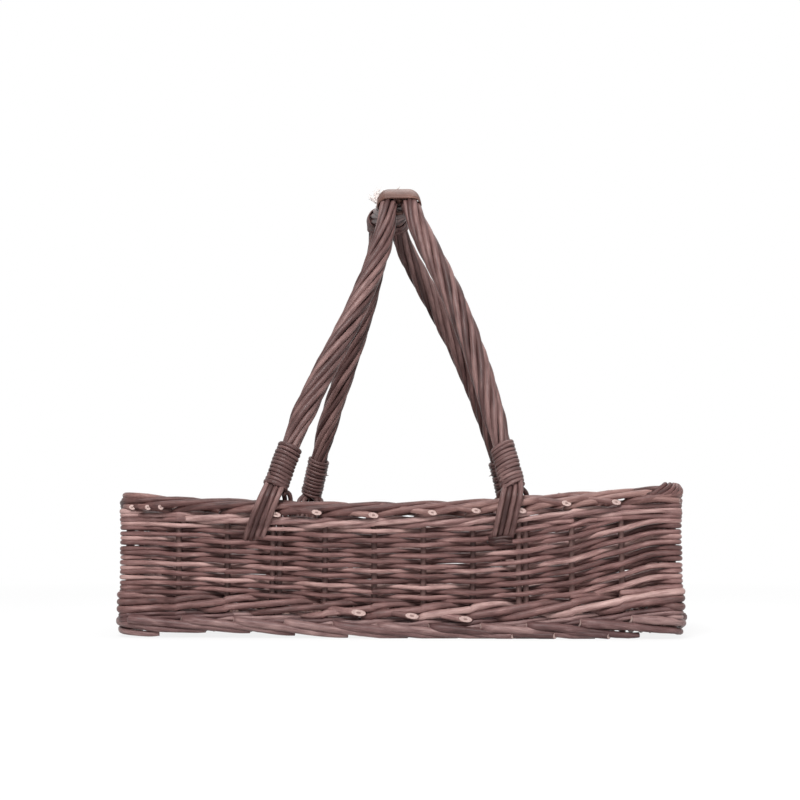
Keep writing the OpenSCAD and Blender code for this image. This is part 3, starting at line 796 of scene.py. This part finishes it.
def foot():
    """The foot border: thick rods that leave a stake high up and slope down to the right."""
    rods = Rods("foot_border_rods", 31)
    rng = rods.rng
    for start in bay_starts():
        r = rng.uniform(0.0044, 0.0049)
        begin = start + LONG_BAY + rng.uniform(-0.034, -0.026)
        run = begin + rng.uniform(0.092, 0.108) * FOOT_RUN
        z = mix(FOOT_HIGH - r + rng.uniform(-0.001, 0.0008), r * 0.62, FOOT_FALL)
        lay_on_floor(rods, run, FOOT_PROUD, z, r, r * 0.56, cut_start=FOOT_CUT)
    for x in TOE_X:
        r = rng.uniform(0.0028, 0.0034)
        z = np.array((*TOE_Z, r + 0.0004))
        lay_on_floor(rods, x + HALF_X + TOE_RUN, TOE_PROUD, z, r, None, cut_end=TOE_CUT)
    rods.build(FOOT_LOOK, "wale", *wall_nodes("foot"))


# Where the cut ends of the front rim's rods show: X and Z
FRONT_ENDS = ((-0.1178, 0.1186), (-0.0786, 0.1206), (-0.0237, 0.1178), (0.0332, 0.1203), (0.0752, 0.1222),
              (0.1189, 0.1222), (0.1616, 0.1292), (0.2091, 0.1302))
CORNER_ENDS = ((-0.2552, 0.1257), (-0.2429, 0.1256), (-0.2303, 0.1257))
# Such an end: shares of its length before the cut, how far inside the surface it lies, and its rise
END_RUN, END_OUT, END_RISE = np.array((
    (-1.0, -0.66, -0.35, -0.13, 0.0),
    (-0.013, -0.0080, -0.0034, -0.0012, -0.0006),
    (0.12, 0.09, 0.045, 0.014, 0.0)))


def shown_end(rods, run, height, radius, facing, reach=0.055, proud=RIM_OUT):
    """The end of a border rod: it comes out from among the others and its cut faces outwards."""
    along = border_point(run + 0.002, 0.0) - border_point(run - 0.002, 0.0)
    outward = border_point(run, 0.02) - border_point(run, 0.0)
    path = border_path(run + reach * END_RUN, proud + END_OUT, height + reach * END_RISE, 5)
    cut = (*(unit(outward) + facing * unit(along)), 0.1)
    rods.lay(path, radius, radius, sides=14, cut_end=cut)


# A rim rod: metres past its stake, how far it lies inside the rim's surface, and shares of the rim's height
RIM_RUN = np.array((-0.004, 0.004, 0.022, 0.055, 0.085, 0.108, 0.124, 0.138))
RIM_INSET = np.array((0.0055, 0.0008, 0.001, 0.005, 0.0105, 0.0135, 0.0145))
RIM_RISE = np.array((-0.15, 0.12, 0.3, 0.55, 0.72, 0.76, 0.62, 0.35))
RIM_FACING, CORNER_FACING = 0.5, 0.9


def rim():
    """The rim border: each stake is laid over to the right, and its cut end shows lower down."""
    rods = Rods("rim_border_rods", 37)
    rng = rods.rng
    for start in bay_starts():
        r = rng.uniform(0.0034, 0.0039)
        begin = start + rng.uniform(-0.003, 0.003)
        out = np.array((0.0, *(RIM_OUT - r - RIM_INSET)))
        path = lifted(border_path(begin + RIM_RUN, out, RIM_LOW + (RIM_HIGH - RIM_LOW) * RIM_RISE))
        rods.lay(path, r, r * rng.uniform(0.72, 0.85), sides=10)
        if start > SIDES[0] - LONG_BAY / 2:
            end = begin + rng.uniform(-0.005, 0.007)
            level = lifted([(*border_point(end, 0.0), RIM_LOW)])[0][2]
            height = level + 0.0018 + rng.uniform(-0.0007, 0.0007)
            shown_end(rods, end, height, rng.uniform(0.0027, 0.0031), RIM_FACING)
    for x, z in FRONT_ENDS:
        shown_end(rods, x + HALF_X, z, rng.uniform(0.0026, 0.0029), RIM_FACING)
    rods.build(RIM_LOOK, "wale", *wall_nodes("rim"))


# Three rods wound round a corner, then the knot on one corner: metres past it, how far out and how high
WIND_RUN, WIND_OUT, WIND_RISE = np.array((
    (-0.04, -0.018, 0.0, 0.018, 0.04),
    (-0.010, -0.001, 0.0, -0.001, -0.010),
    (-0.001, 0.0015, 0.0018, 0.001, -0.002)))
WIND_RODS, WIND_PITCH, WIND_STEP_IN = 3, 0.0052, 0.0009
KNOT_RODS, KNOT_START, KNOT_STEP = 6, -0.016, 0.0046
KNOT_RUN, KNOT_OUT, KNOT_RISE = np.array((
    (-0.006, 0.0, 0.005, 0.009, 0.012, 0.014),
    (-0.004, -0.0026, -0.0036, -0.0070, -0.0120, -0.0160),
    (-0.0095, -0.0050, -0.0002, 0.0030, 0.0012, -0.0050)))


def corner_rods():
    """Rods wound round the rim's corners, the knot on one of them, and the cut ends beside the first."""
    rods = Rods("rim_corner_rods", 41)
    rng = rods.rng
    corners = np.cumsum([0] + SIDES[:3])
    for corner in corners:
        for k in range(WIND_RODS):
            r = rng.uniform(0.0026, 0.0033)
            run = corner + WIND_RUN + rng.uniform(-0.004, 0.004)
            z = RIM_LOW + 0.002 + WIND_PITCH * k + WIND_RISE + rng.uniform(-0.0006, 0.0006)
            path = lifted(border_path(run, RIM_OUT - r - 0.001 - WIND_STEP_IN * k + WIND_OUT, z))
            rods.lay(path, r, r * 0.85, sides=10)
    for x, z in CORNER_ENDS:
        shown_end(rods, x + HALF_X, z, 0.0027, CORNER_FACING, 0.022)
    for k in range(KNOT_RODS):
        run = corners[1] + KNOT_START + KNOT_STEP * k + KNOT_RUN
        path = lifted(border_path(run, RIM_OUT + KNOT_OUT, RIM_HIGH + KNOT_RISE, 5))
        rods.lay(path, 0.0023, 0.0019, sides=9)
    rods.build(RIM_LOOK, "wale")


BASE_INSET = 0.003
BASE_PITCH = 0.0046
BASE_SWING, BASE_JITTER = 0.0034, 0.0003


def base():
    """The base: rods woven over and under the sticks that run along it."""
    sticks = Rods("base_stick_rods", 43)
    half_x, half_y = HALF_X - BASE_INSET, HALF_Y - BASE_INSET
    middle = (BASE_LOW + BASE_HIGH) / 2
    lines = [(k - (BASE_STICKS - 1) / 2) * 2 * half_y / BASE_STICKS for k in range(BASE_STICKS)]
    for y in lines:
        path = straight_wobble(sticks.rng, (-half_x, y, middle), (half_x, y, middle), 0.0003, 24)
        sticks.lay(path, 0.0041, 0.0036)
    sticks.build(STAKE_LOOK, "stake", "base_sticks")
    rods = Rods("base_weave_rods", 47)
    rng = rods.rng
    count = int(2 * half_x / BASE_PITCH)
    for i in range(count):
        x = -half_x + (i + 0.5) * 2 * half_x / count
        swing = BASE_SWING if i % 2 else -BASE_SWING
        points = [(x, -half_y, middle)]
        for k, y in enumerate(lines):
            points.append((x + rng.uniform(-BASE_JITTER, BASE_JITTER), y, middle + swing * (-1) ** k))
        path = smooth_path([*points, (x, half_y, middle)], 5)
        rods.lay(path, rng.uniform(0.0024, 0.0027), 0.0023, sides=8)
    rods.build(BASE_LOOK, "base", "base_weave")


# The handle. Its places are the frame's, moved by a few millimetres to match the photograph

LEFT, RIGHT = -1, 1
FRONT, BACK = -1, 1
HOOP_SPAN = {FRONT: 0.231, BACK: 0.2272}
HOOP_SHIFT = {FRONT: -0.0047, BACK: -0.0044}
HOOP_BOW = {FRONT: 0.0042, BACK: 0.0028}
HOOP_FOOT_OUT = 0.005
HOOP_FOOT_LIFT = 0.009
FOOT_LEAN_X, FRONT_LEFT_LEAN_X, FOOT_LEAN_Y = 0.25, 0.33, 0.27
RIM_TOP = 0.1357
GRIP_Z = 0.4472
GRIP_LENGTH = 0.108
GRIP_SHIFT = -0.0147
GRIP_SKEW = 0.0196
ROPE_D, ROPE_BOUND_D, ROPE_GRIP_D = 0.023, 0.0186, 0.0196
ROPE_STRANDS = 8
ROPE_LAY = 0.200
BAR_GAP = 0.0004
BINDING_TURNS, BINDING_PITCH, BINDING_D = 11, 0.004, 0.0032
BOUND_LENGTH = BINDING_TURNS * BINDING_PITCH + 2 * BINDING_D
FOOT_PULL, SHOULDER_PULL = 0.36, 0.18
SHOULDER_SPREAD, SHOULDER_SWAY, SHOULDER_OUT, SHOULDER_DROP = 0.0038, 0.0028, 0.019, 0.019
ELBOW_OUT = 0.013


def leg_lean(hoop, end):
    lean_x = FRONT_LEFT_LEAN_X if (hoop, end) == (LEFT, FRONT) else FOOT_LEAN_X
    return unit((-hoop * lean_x, -end * FOOT_LEAN_Y, 1))


def leg_foot(hoop, end):
    x = HOOP_SHIFT[end] + hoop * HOOP_SPAN[end] / 2
    return np.array((x, end * (HALF_Y + HOOP_FOOT_OUT), RIM_TOP + HOOP_FOOT_LIFT))


def bar_end(hoop, end):
    x = GRIP_SHIFT - end * GRIP_SKEW / 2 + hoop * (ROPE_GRIP_D + BAR_GAP) / 2
    return np.array((x, end * GRIP_LENGTH / 2, GRIP_Z))


def elbow(hoop, end):
    return bar_end(hoop, end) + np.array((0, end * ELBOW_OUT, 0))


def shoulder(hoop, end):
    aside = hoop * SHOULDER_SPREAD + SHOULDER_SWAY
    return bar_end(hoop, end) + np.array((aside, end * SHOULDER_OUT, -SHOULDER_DROP))


def bend_points(hoop, end, t):
    t = np.asarray(t, float)[:, None]
    return bezier(t, shoulder(hoop, end), elbow(hoop, end), bar_end(hoop, end))


def half_hoop(hoop, end):
    """The middle line of half a hoop, from its foot to its end of the grip."""
    foot_point, lean = leg_foot(hoop, end), leg_lean(hoop, end)
    a, d = foot_point + lean * BOUND_LENGTH, shoulder(hoop, end)
    reach = np.linalg.norm(d - a)
    b = a + lean * reach * FOOT_PULL
    c = d - unit(elbow(hoop, end) - d) * reach * SHOULDER_PULL
    t = np.linspace(0, 1, 61)[:, None]
    curve = bezier(t, a, b, c, d) + X_AXIS * HOOP_BOW[end] * np.sin(math.pi * t) ** 2
    bound = mix(foot_point, a, np.linspace(0, 1, 13)[:-1, None])
    return np.vstack([bound, curve, bend_points(hoop, end, np.linspace(0, 1, 13)[1:])])


def hoop_line(hoop):
    front, back = half_hoop(hoop, FRONT), half_hoop(hoop, BACK)
    bar = mix(front[-1], back[-1], np.linspace(0, 1, 26)[1:-1, None])
    return np.vstack([front, bar, back[::-1]])


STRAND_SHARE = (0.272, 0.296)
CORE_R = 0.0032
# A bundle widens above its binding and narrows again towards the grip, over these lengths
WIDENING, NARROW_START, NARROWING = 0.03, 0.015, 0.06


def ropes():
    """Each hoop is a bundle of long rods twisted together, thinner where it is bound and at the grip."""
    for hoop, name in ((LEFT, "left_hoop"), (RIGHT, "right_hoop")):
        rods = Rods(name + "_rope_rods", 53 + hoop)
        rng = rods.rng
        line = hoop_line(hoop)
        run = run_along(line)
        near_x, other = square_to(tangents(line))
        from_end = np.minimum(run, run[-1] - run)
        from_grip = np.abs(run - run[-1] / 2) - GRIP_LENGTH / 2
        bundle = mix(ROPE_BOUND_D, ROPE_D, smooth((from_end - BOUND_LENGTH) / WIDENING)) / 2
        bundle = mix(ROPE_GRIP_D / 2, bundle, smooth((from_grip - NARROW_START) / NARROWING))
        for k in range(ROPE_STRANDS):
            strand_r = bundle * rng.uniform(*STRAND_SHARE)
            angle = 2 * math.pi * (k / ROPE_STRANDS + run / ROPE_LAY) + wander(rng, run / 0.15, 1, 0.1)
            away = (bundle - strand_r) * (1 + wander(rng, run / 0.1, 1, 0.025))
            path = line + away[:, None] * round_about(angle, near_x, other)
            ends = (1.04, 0.95) if k % 2 else (0.95, 1.04)
            rods.add(path, strand_r * rods.taper(path, *ends), ref=X_AXIS, sides=12)
        rods.lay(line, CORE_R, CORE_R, tone=0.0, ref=X_AXIS, sides=8)
        rods.build(ROPE_LOOK, "rope", name)


LEGS = [(hoop, end) for end in (FRONT, BACK) for hoop in (LEFT, RIGHT)]


def leg_name(hoop, end):
    return ("front" if end == FRONT else "back") + ("_left" if hoop == LEFT else "_right")


SKEIN_THICK, SKEIN_FLAT, SKEIN_GAP = 0.00138, 1.4, 0.0004
SKEIN_ASKEW, SKEIN_START = 0.0018, -0.0008
STEPS_PER_TURN = 26
STUB_R = np.linspace(0.001, 0.0004, 5)


def leg_bindings():
    """Flat skeins wound round the foot of each leg, a little askew, with two loose stubs each."""
    for number, (hoop, end) in enumerate(LEGS):
        name = leg_name(hoop, end) + "_binding"
        rods = Rods(name + "_skein", 61 + number)
        rng = rods.rng
        lean = leg_lean(hoop, end)
        turns = BINDING_TURNS + 0.4
        t = np.linspace(0, turns, int(turns * STEPS_PER_TURN))
        angle = 2 * math.pi * t
        reach = ROPE_BOUND_D / 2 + SKEIN_THICK + SKEIN_GAP + wander(rng, t, 0.7, 0.0003)
        askew = hoop * SKEIN_ASKEW * np.cos(angle) * (1 + wander(rng, t, 0.15, 0.2))
        rise = SKEIN_START + t * BINDING_PITCH + askew + wander(rng, t, 0.4, 0.0002)
        outward = round_about(angle, *square_to(lean))
        path = leg_foot(hoop, end) + rise[:, None] * lean + reach[:, None] * outward
        radius = SKEIN_THICK * (1 + wander(rng, t, 0.4, 0.06))
        step = np.arange(5)[:, None]
        rods.add(path, radius, tone=rng.uniform(0.3, 0.8), ref=lean, sides=12, flat=SKEIN_FLAT)
        for _ in range(2):
            start = int(rng.integers(20, len(t) - 30))
            out = unit(np.cross(path[start + 1] - path[start], lean))
            onward = unit(path[start + 3] - path[start])
            stub = path[start] + out * 0.0002 + onward * step * 0.002 + out * 0.00035 * step * step
            rods.add(stub, STUB_R, ref=lean, sides=7)
        rods.build(SKEIN_LOOK, "binding", name)


LEG_ROD_R = 0.0027
LEG_ROD_PITCH = 0.00545
LEG_RODS = 4
OUTER_END_Z, INNER_END_Z = 0.096, 0.070
OUTER_SLANT, OUTER_SPLAY = 0.01555, 0.00495
RIM_Y = HALF_Y + RIM_OUT
TIE_LEG = (RIGHT, FRONT)


def leg_rod_start(hoop, end, aside, outward, low):
    """The foot of a leg, and two points of a rod that comes down out of its binding."""
    foot_point, lean = leg_foot(hoop, end), leg_lean(hoop, end)
    near_x, other = square_to(lean)
    top = foot_point + aside * near_x * 0.9 + end * outward * other
    return foot_point, [top + lean * 0.012, top + lean * low]


def outer_points(hoop, end, aside, end_z):
    """A rod that leaves the binding, lies outside the rim and slants down to its end in the weave."""
    foot_point, points = leg_rod_start(hoop, end, aside, 0.0058, 0.002)
    slant = end * OUTER_SLANT + hoop * OUTER_SPLAY
    for y, z in ((RIM_Y + 0.0032, RIM_TOP + 0.001), (RIM_Y + 0.0034, RIM_LOW + 0.006),
                 (RIM_Y - 0.001, RIM_LOW - 0.008), (HALF_Y + 0.0088, OUTER_END_Z + 0.010),
                 (HALF_Y + 0.0064, OUTER_END_Z + 0.003), (HALF_Y + 0.001, end_z - 0.001)):
        drop = (foot_point[2] - z) / (foot_point[2] - OUTER_END_Z)
        points.append((foot_point[0] + aside * 1.02 + slant * drop, end * y, z))
    return points


def inner_points(hoop, end, aside):
    """A rod that leaves the binding, passes behind the rim and goes down inside the wall."""
    foot_point, points = leg_rod_start(hoop, end, aside, -0.0048, 0.001)
    for apart, inset, z in ((0.0047, 0.004, RIM_TOP + 0.003), (0.0058, 0.0095, RIM_LOW),
                            (0.0066, 0.0092, INNER_END_Z + 0.01), (0.0066, 0.0085, INNER_END_Z)):
        points.append((foot_point[0] + (aside + np.sign(aside) * apart), end * (HALF_Y - inset), z))
    return points


def tie(rods, hoop, end, k):
    """A dark rod that crosses the ends of the outer rods and goes in on both sides of them."""
    middle = leg_foot(hoop, end)[0] + (end * OUTER_SLANT + hoop * OUTER_SPLAY) - 0.001
    run = np.linspace(-1, 1, 15)
    y = end * (HALF_Y + 0.0088 - 0.0075 * run ** 4)
    z = OUTER_END_Z + 0.0004 - 0.0036 * k + 0.0008 * np.sin(3 * run + k)
    rods.lay(np.column_stack([middle + 0.0125 * run, y, z]), 0.0019, 0.0016, tone=0.0, sides=9)


def leg_rods():
    """Below each binding four rods pass over the outside of the rim and four inside it."""
    for number, (hoop, end) in enumerate(LEGS):
        name = leg_name(hoop, end)
        outer = Rods(name + "_outer_rods_laid", 71 + number)
        inner = Rods(name + "_inner_rods_laid", 81 + number)
        for k in range(LEG_RODS):
            aside = (k - (LEG_RODS - 1) / 2) * LEG_ROD_PITCH
            end_z = OUTER_END_Z + outer.rng.uniform(-0.002, 0.002)
            path = smooth_path(outer_points(hoop, end, aside, end_z), 6)
            outer.lay(path, LEG_ROD_R * 1.02, LEG_ROD_R * 0.93, ref=X_AXIS, sides=11)
            path = smooth_path(inner_points(hoop, end, aside), 6)
            inner.lay(path, LEG_ROD_R * 0.95, LEG_ROD_R * 0.8, ref=X_AXIS, sides=10)
        for k in range(2 if (hoop, end) == TIE_LEG else 0):
            tie(outer, hoop, end, k)
        outer.build(ROPE_LOOK, "rope", name + "_outer_rods")
        inner.build(ROPE_LOOK, "rope", name + "_inner_rods")


STRAIGHT_POINTS = 3


def pair_loop(left, right, heading, reach, steps):
    """A loop round both bundles, reach metres from their middle lines. It starts and ends below."""
    near_x, other = square_to(heading)
    upwards = -np.sign(other[2]) * other
    halves = []
    for middle, start in ((left, 90), (right, -90)):
        angle = np.radians(start + np.linspace(0, 180, steps))
        halves.append(middle + reach * round_about(angle, near_x, upwards))
    straight = np.linspace(0, 1, STRAIGHT_POINTS + 2)[1:-1, None]
    above = mix(halves[0][-1], halves[1][0], straight)
    under = mix(halves[1][-1], halves[0][0], straight)
    return np.vstack([halves[0], above, halves[1], under])


BAND_LOW, BAND_HIGH = 0.34, 1.0
BAND_LINES = 9
BAND_THICK, BAND_CROWN, BAND_SWAY = 0.0013, 0.0007, 0.0005
BAND_GAP = 0.0004
GROOVE_LIFT, GROOVE_R = np.array((0, 0, 0.0045)), 0.003


def grip_band():
    """A broad skein folded over the front bend of the grip. A rod fills the groove under it."""
    rods = Rods("front_grip_band_skein", 91)
    t = np.linspace(BAND_LOW, BAND_HIGH, BAND_LINES)
    left, right = bend_points(LEFT, FRONT, t), bend_points(RIGHT, FRONT, t)
    middle = (left + right) / 2
    heading = tangents(middle)
    layers = {}
    for height in (0.0, BAND_THICK):
        loops = []
        for k in range(BAND_LINES):
            crown = BAND_CROWN * math.sin(math.pi * k / (BAND_LINES - 1)) if height else 0.0
            loop = pair_loop(left[k], right[k], heading[k], ROPE_GRIP_D / 2 + BAND_GAP + height + crown, 12)
            loop = smooth_path(np.vstack([loop, loop[:1]]), 4)
            if height and k in (0, BAND_LINES - 1):
                sway = wander(rods.rng, np.linspace(0, 1, len(loop)), 1.2, BAND_SWAY)
                loop = loop + heading[k] * sway[:, None]
            loops.append(loop)
        layers[height] = np.array(loops)
    rings = np.concatenate([layers[BAND_THICK][::-1], layers[0.0]]).transpose(1, 0, 2)
    rods.skin(rings, rings.mean(axis=1), 0.5)
    rods.add(middle + GROOVE_LIFT, GROOVE_R, tone=0.1, ref=X_AXIS)
    rods.build(BAND_LOOK, "band", "front_grip_band")


FIBRES = 70
FRAY_OFFSET = np.array((-0.0112, -0.001, 0.0))
SPLINTER_OFFSET, SPLINTER_WAY = np.array((-0.012, 0, 0.0122)), np.array((0.0035, 0, 0.0028))


def grip_fray():
    """The band's frayed end: a brush of pale fibres, and a splinter on its top."""
    rods = Rods("front_grip_frayed_fibres", 93)
    rng = rods.rng
    root = bend_points(LEFT, FRONT, ((BAND_LOW + BAND_HIGH) / 2,))[0] + FRAY_OFFSET
    steps = np.linspace(0, 1, 8)
    for _ in range(FIBRES):
        lean = rng.uniform(-1.15, 0.25)
        aim = unit((math.sin(lean), rng.uniform(-0.15, 0.25), math.cos(lean)))
        length = rng.uniform(0.007, 0.0145)
        bow = rng.uniform(0.0, 0.005)
        start = root + rng.uniform((-0.001, -0.002, -0.004), (0.002, 0.002, 0.002))
        path = start + aim * length * steps[:, None] + X_AXIS * (bow * steps ** 2)[:, None]
        rods.add(path, np.linspace(0.0008, 0.0002, 8), ref=X_AXIS, sides=6)
    start = bend_points(RIGHT, FRONT, (0.8,))[0] + SPLINTER_OFFSET
    splinter = start + np.linspace(0, 1, 6)[:, None] * SPLINTER_WAY
    rods.add(splinter, np.linspace(0.0007, 0.0002, 6), tone=0.0, ref=X_AXIS, sides=6)
    rods.build(FIBRE_LOOK, "band")


WINDING_TURNS, WINDING_STEPS = 14, 30
WINDING_R, WINDING_OUT = 0.00098, 0.0014
WINDING_BAR, WINDING_BEND = (0.86, 1.0), (1.0, 0.4)


def grip_binding():
    """A fine skein wound round both bundles, from the back of the grip into its bend."""
    rods = Rods("back_grip_binding_skein", 95)
    bar_share = np.linspace(*WINDING_BAR, 8)[:-1, None]
    lines = []
    for hoop in (LEFT, RIGHT):
        bar = mix(bar_end(hoop, FRONT), bar_end(hoop, BACK), bar_share)
        lines.append(np.vstack([bar, bend_points(hoop, BACK, np.linspace(*WINDING_BEND, 10))]))
    middle = (lines[0] + lines[1]) / 2
    headings = tangents(middle)
    run = run_along(middle)
    total, half_steps = WINDING_TURNS * WINDING_STEPS, WINDING_STEPS // 2 - STRAIGHT_POINTS
    sway = wander(rods.rng, np.linspace(0, WINDING_TURNS, total), 0.6, 0.0002)
    points = []
    for i, at in enumerate(np.linspace(0, run[-1], total) + sway):
        left, right, heading = (
            np.array([np.interp(at, run, column) for column in line.T]) for line in (*lines, headings))
        loop = pair_loop(left, right, unit(heading), ROPE_GRIP_D / 2 + WINDING_OUT, half_steps)
        points.append(loop[i % WINDING_STEPS])
    rods.add(smooth_path(points, 2), WINDING_R, tone=0.6, ref=headings[8], sides=8)
    rods.build(SKEIN_LOOK, "binding", "back_grip_binding")


# Floor, lights and what lies behind

WHITE = (1, 1, 1, 1)
FLOOR_SIZE, FLOOR_COLOUR = 40.0, (0.86, 0.86, 0.86, 1)
FLOOR_GLOW = 0.85
GLOW_NEAR, GLOW_FAR = 0.5, 2.0
WORLD_LIGHT, WORLD_COLOUR = 0.2, (0.97, 0.98, 1.0, 1)
# Soft lights: name, place, size and power
LIGHTS = (("key", (-0.15, -1.9, 1.7), 0.8, 62), ("fill", (1.7, -1.4, 0.9), 1.2, 10),
          ("top", (0.1, 0.6, 2.1), 1.6, 30))
LIGHT_AIM = (0, 0, 0.15)


def seen_or_reflected(n):
    """1 for rays from the camera or from a glossy or clear surface, otherwise 0."""
    path = n.add("LightPath")
    seen = path.outputs["Is Camera Ray"]
    for kind in ("Is Glossy Ray", "Is Transmission Ray"):
        seen = n.math("MAXIMUM", seen, path.outputs[kind])
    return seen


def make_floor():
    """A pale floor that keeps the shadow and turns to white far away."""
    mesh = bpy.data.meshes.new("floor")
    corners = [(x * FLOOR_SIZE, y * FLOOR_SIZE, 0) for x, y in ((-1, -1), (1, -1), (1, 1), (-1, 1))]
    mesh.from_pydata(corners, [], [(0, 1, 2, 3)])
    floor = bpy.data.objects.new("floor", mesh)
    bpy.context.scene.collection.objects.link(floor)
    n = Nodes(bpy.data.materials.new("floor_white"))
    n.shader.inputs["Base Color"].default_value = FLOOR_COLOUR
    n.shader.inputs["Roughness"].default_value = 0.9
    glow = n.add("Emission", (("Color", WHITE), ("Strength", 1.0)))
    distance = n.add("VectorMath", ((0, n.place()),), operation="LENGTH").outputs["Value"]
    spread = n.add("MapRange", (
        ("From Min", GLOW_NEAR), ("From Max", GLOW_FAR), ("To Min", FLOOR_GLOW), ("To Max", 1.0),
        ("Value", distance)), interpolation_type="SMOOTHSTEP")
    share = n.math("MULTIPLY", seen_or_reflected(n), spread.outputs["Result"])
    blend = n.add("MixShader", ((0, share), (1, n.shader.outputs[0]), (2, glow.outputs[0])))
    n.feed(n.tree.nodes["Material Output"].inputs["Surface"], blend.outputs[0])
    mesh.materials.append(n.owner)


def make_world():
    """White where the camera or a reflection sees it, and a weak light otherwise."""
    world = bpy.data.worlds.new("white_studio")
    bpy.context.scene.world = world
    n = Nodes(world)
    n.tree.nodes.clear()
    lit = n.add("Background", (("Color", WORLD_COLOUR), ("Strength", WORLD_LIGHT)))
    seen = n.add("Background", (("Color", WHITE), ("Strength", 1.0)))
    blend = n.add("MixShader", ((0, seen_or_reflected(n)), (1, lit.outputs[0]), (2, seen.outputs[0])))
    n.add("OutputWorld", (("Surface", blend.outputs[0]),))


def studio():
    """A pale floor, a white surround, and soft lights from above."""
    bpy.context.scene.view_settings.view_transform = "Standard"
    make_floor()
    make_world()
    for name, place, size, power in LIGHTS:
        data = bpy.data.lights.new(name, "AREA")
        data.size = size
        data.energy = power
        aimed_object(name, data, place, LIGHT_AIM)


make_camera()
studio()
base()
stakes()
side_weave()
wales()
foot()
rim()
corner_rods()
ropes()
leg_bindings()
leg_rods()
grip_band()
grip_fray()
grip_binding()
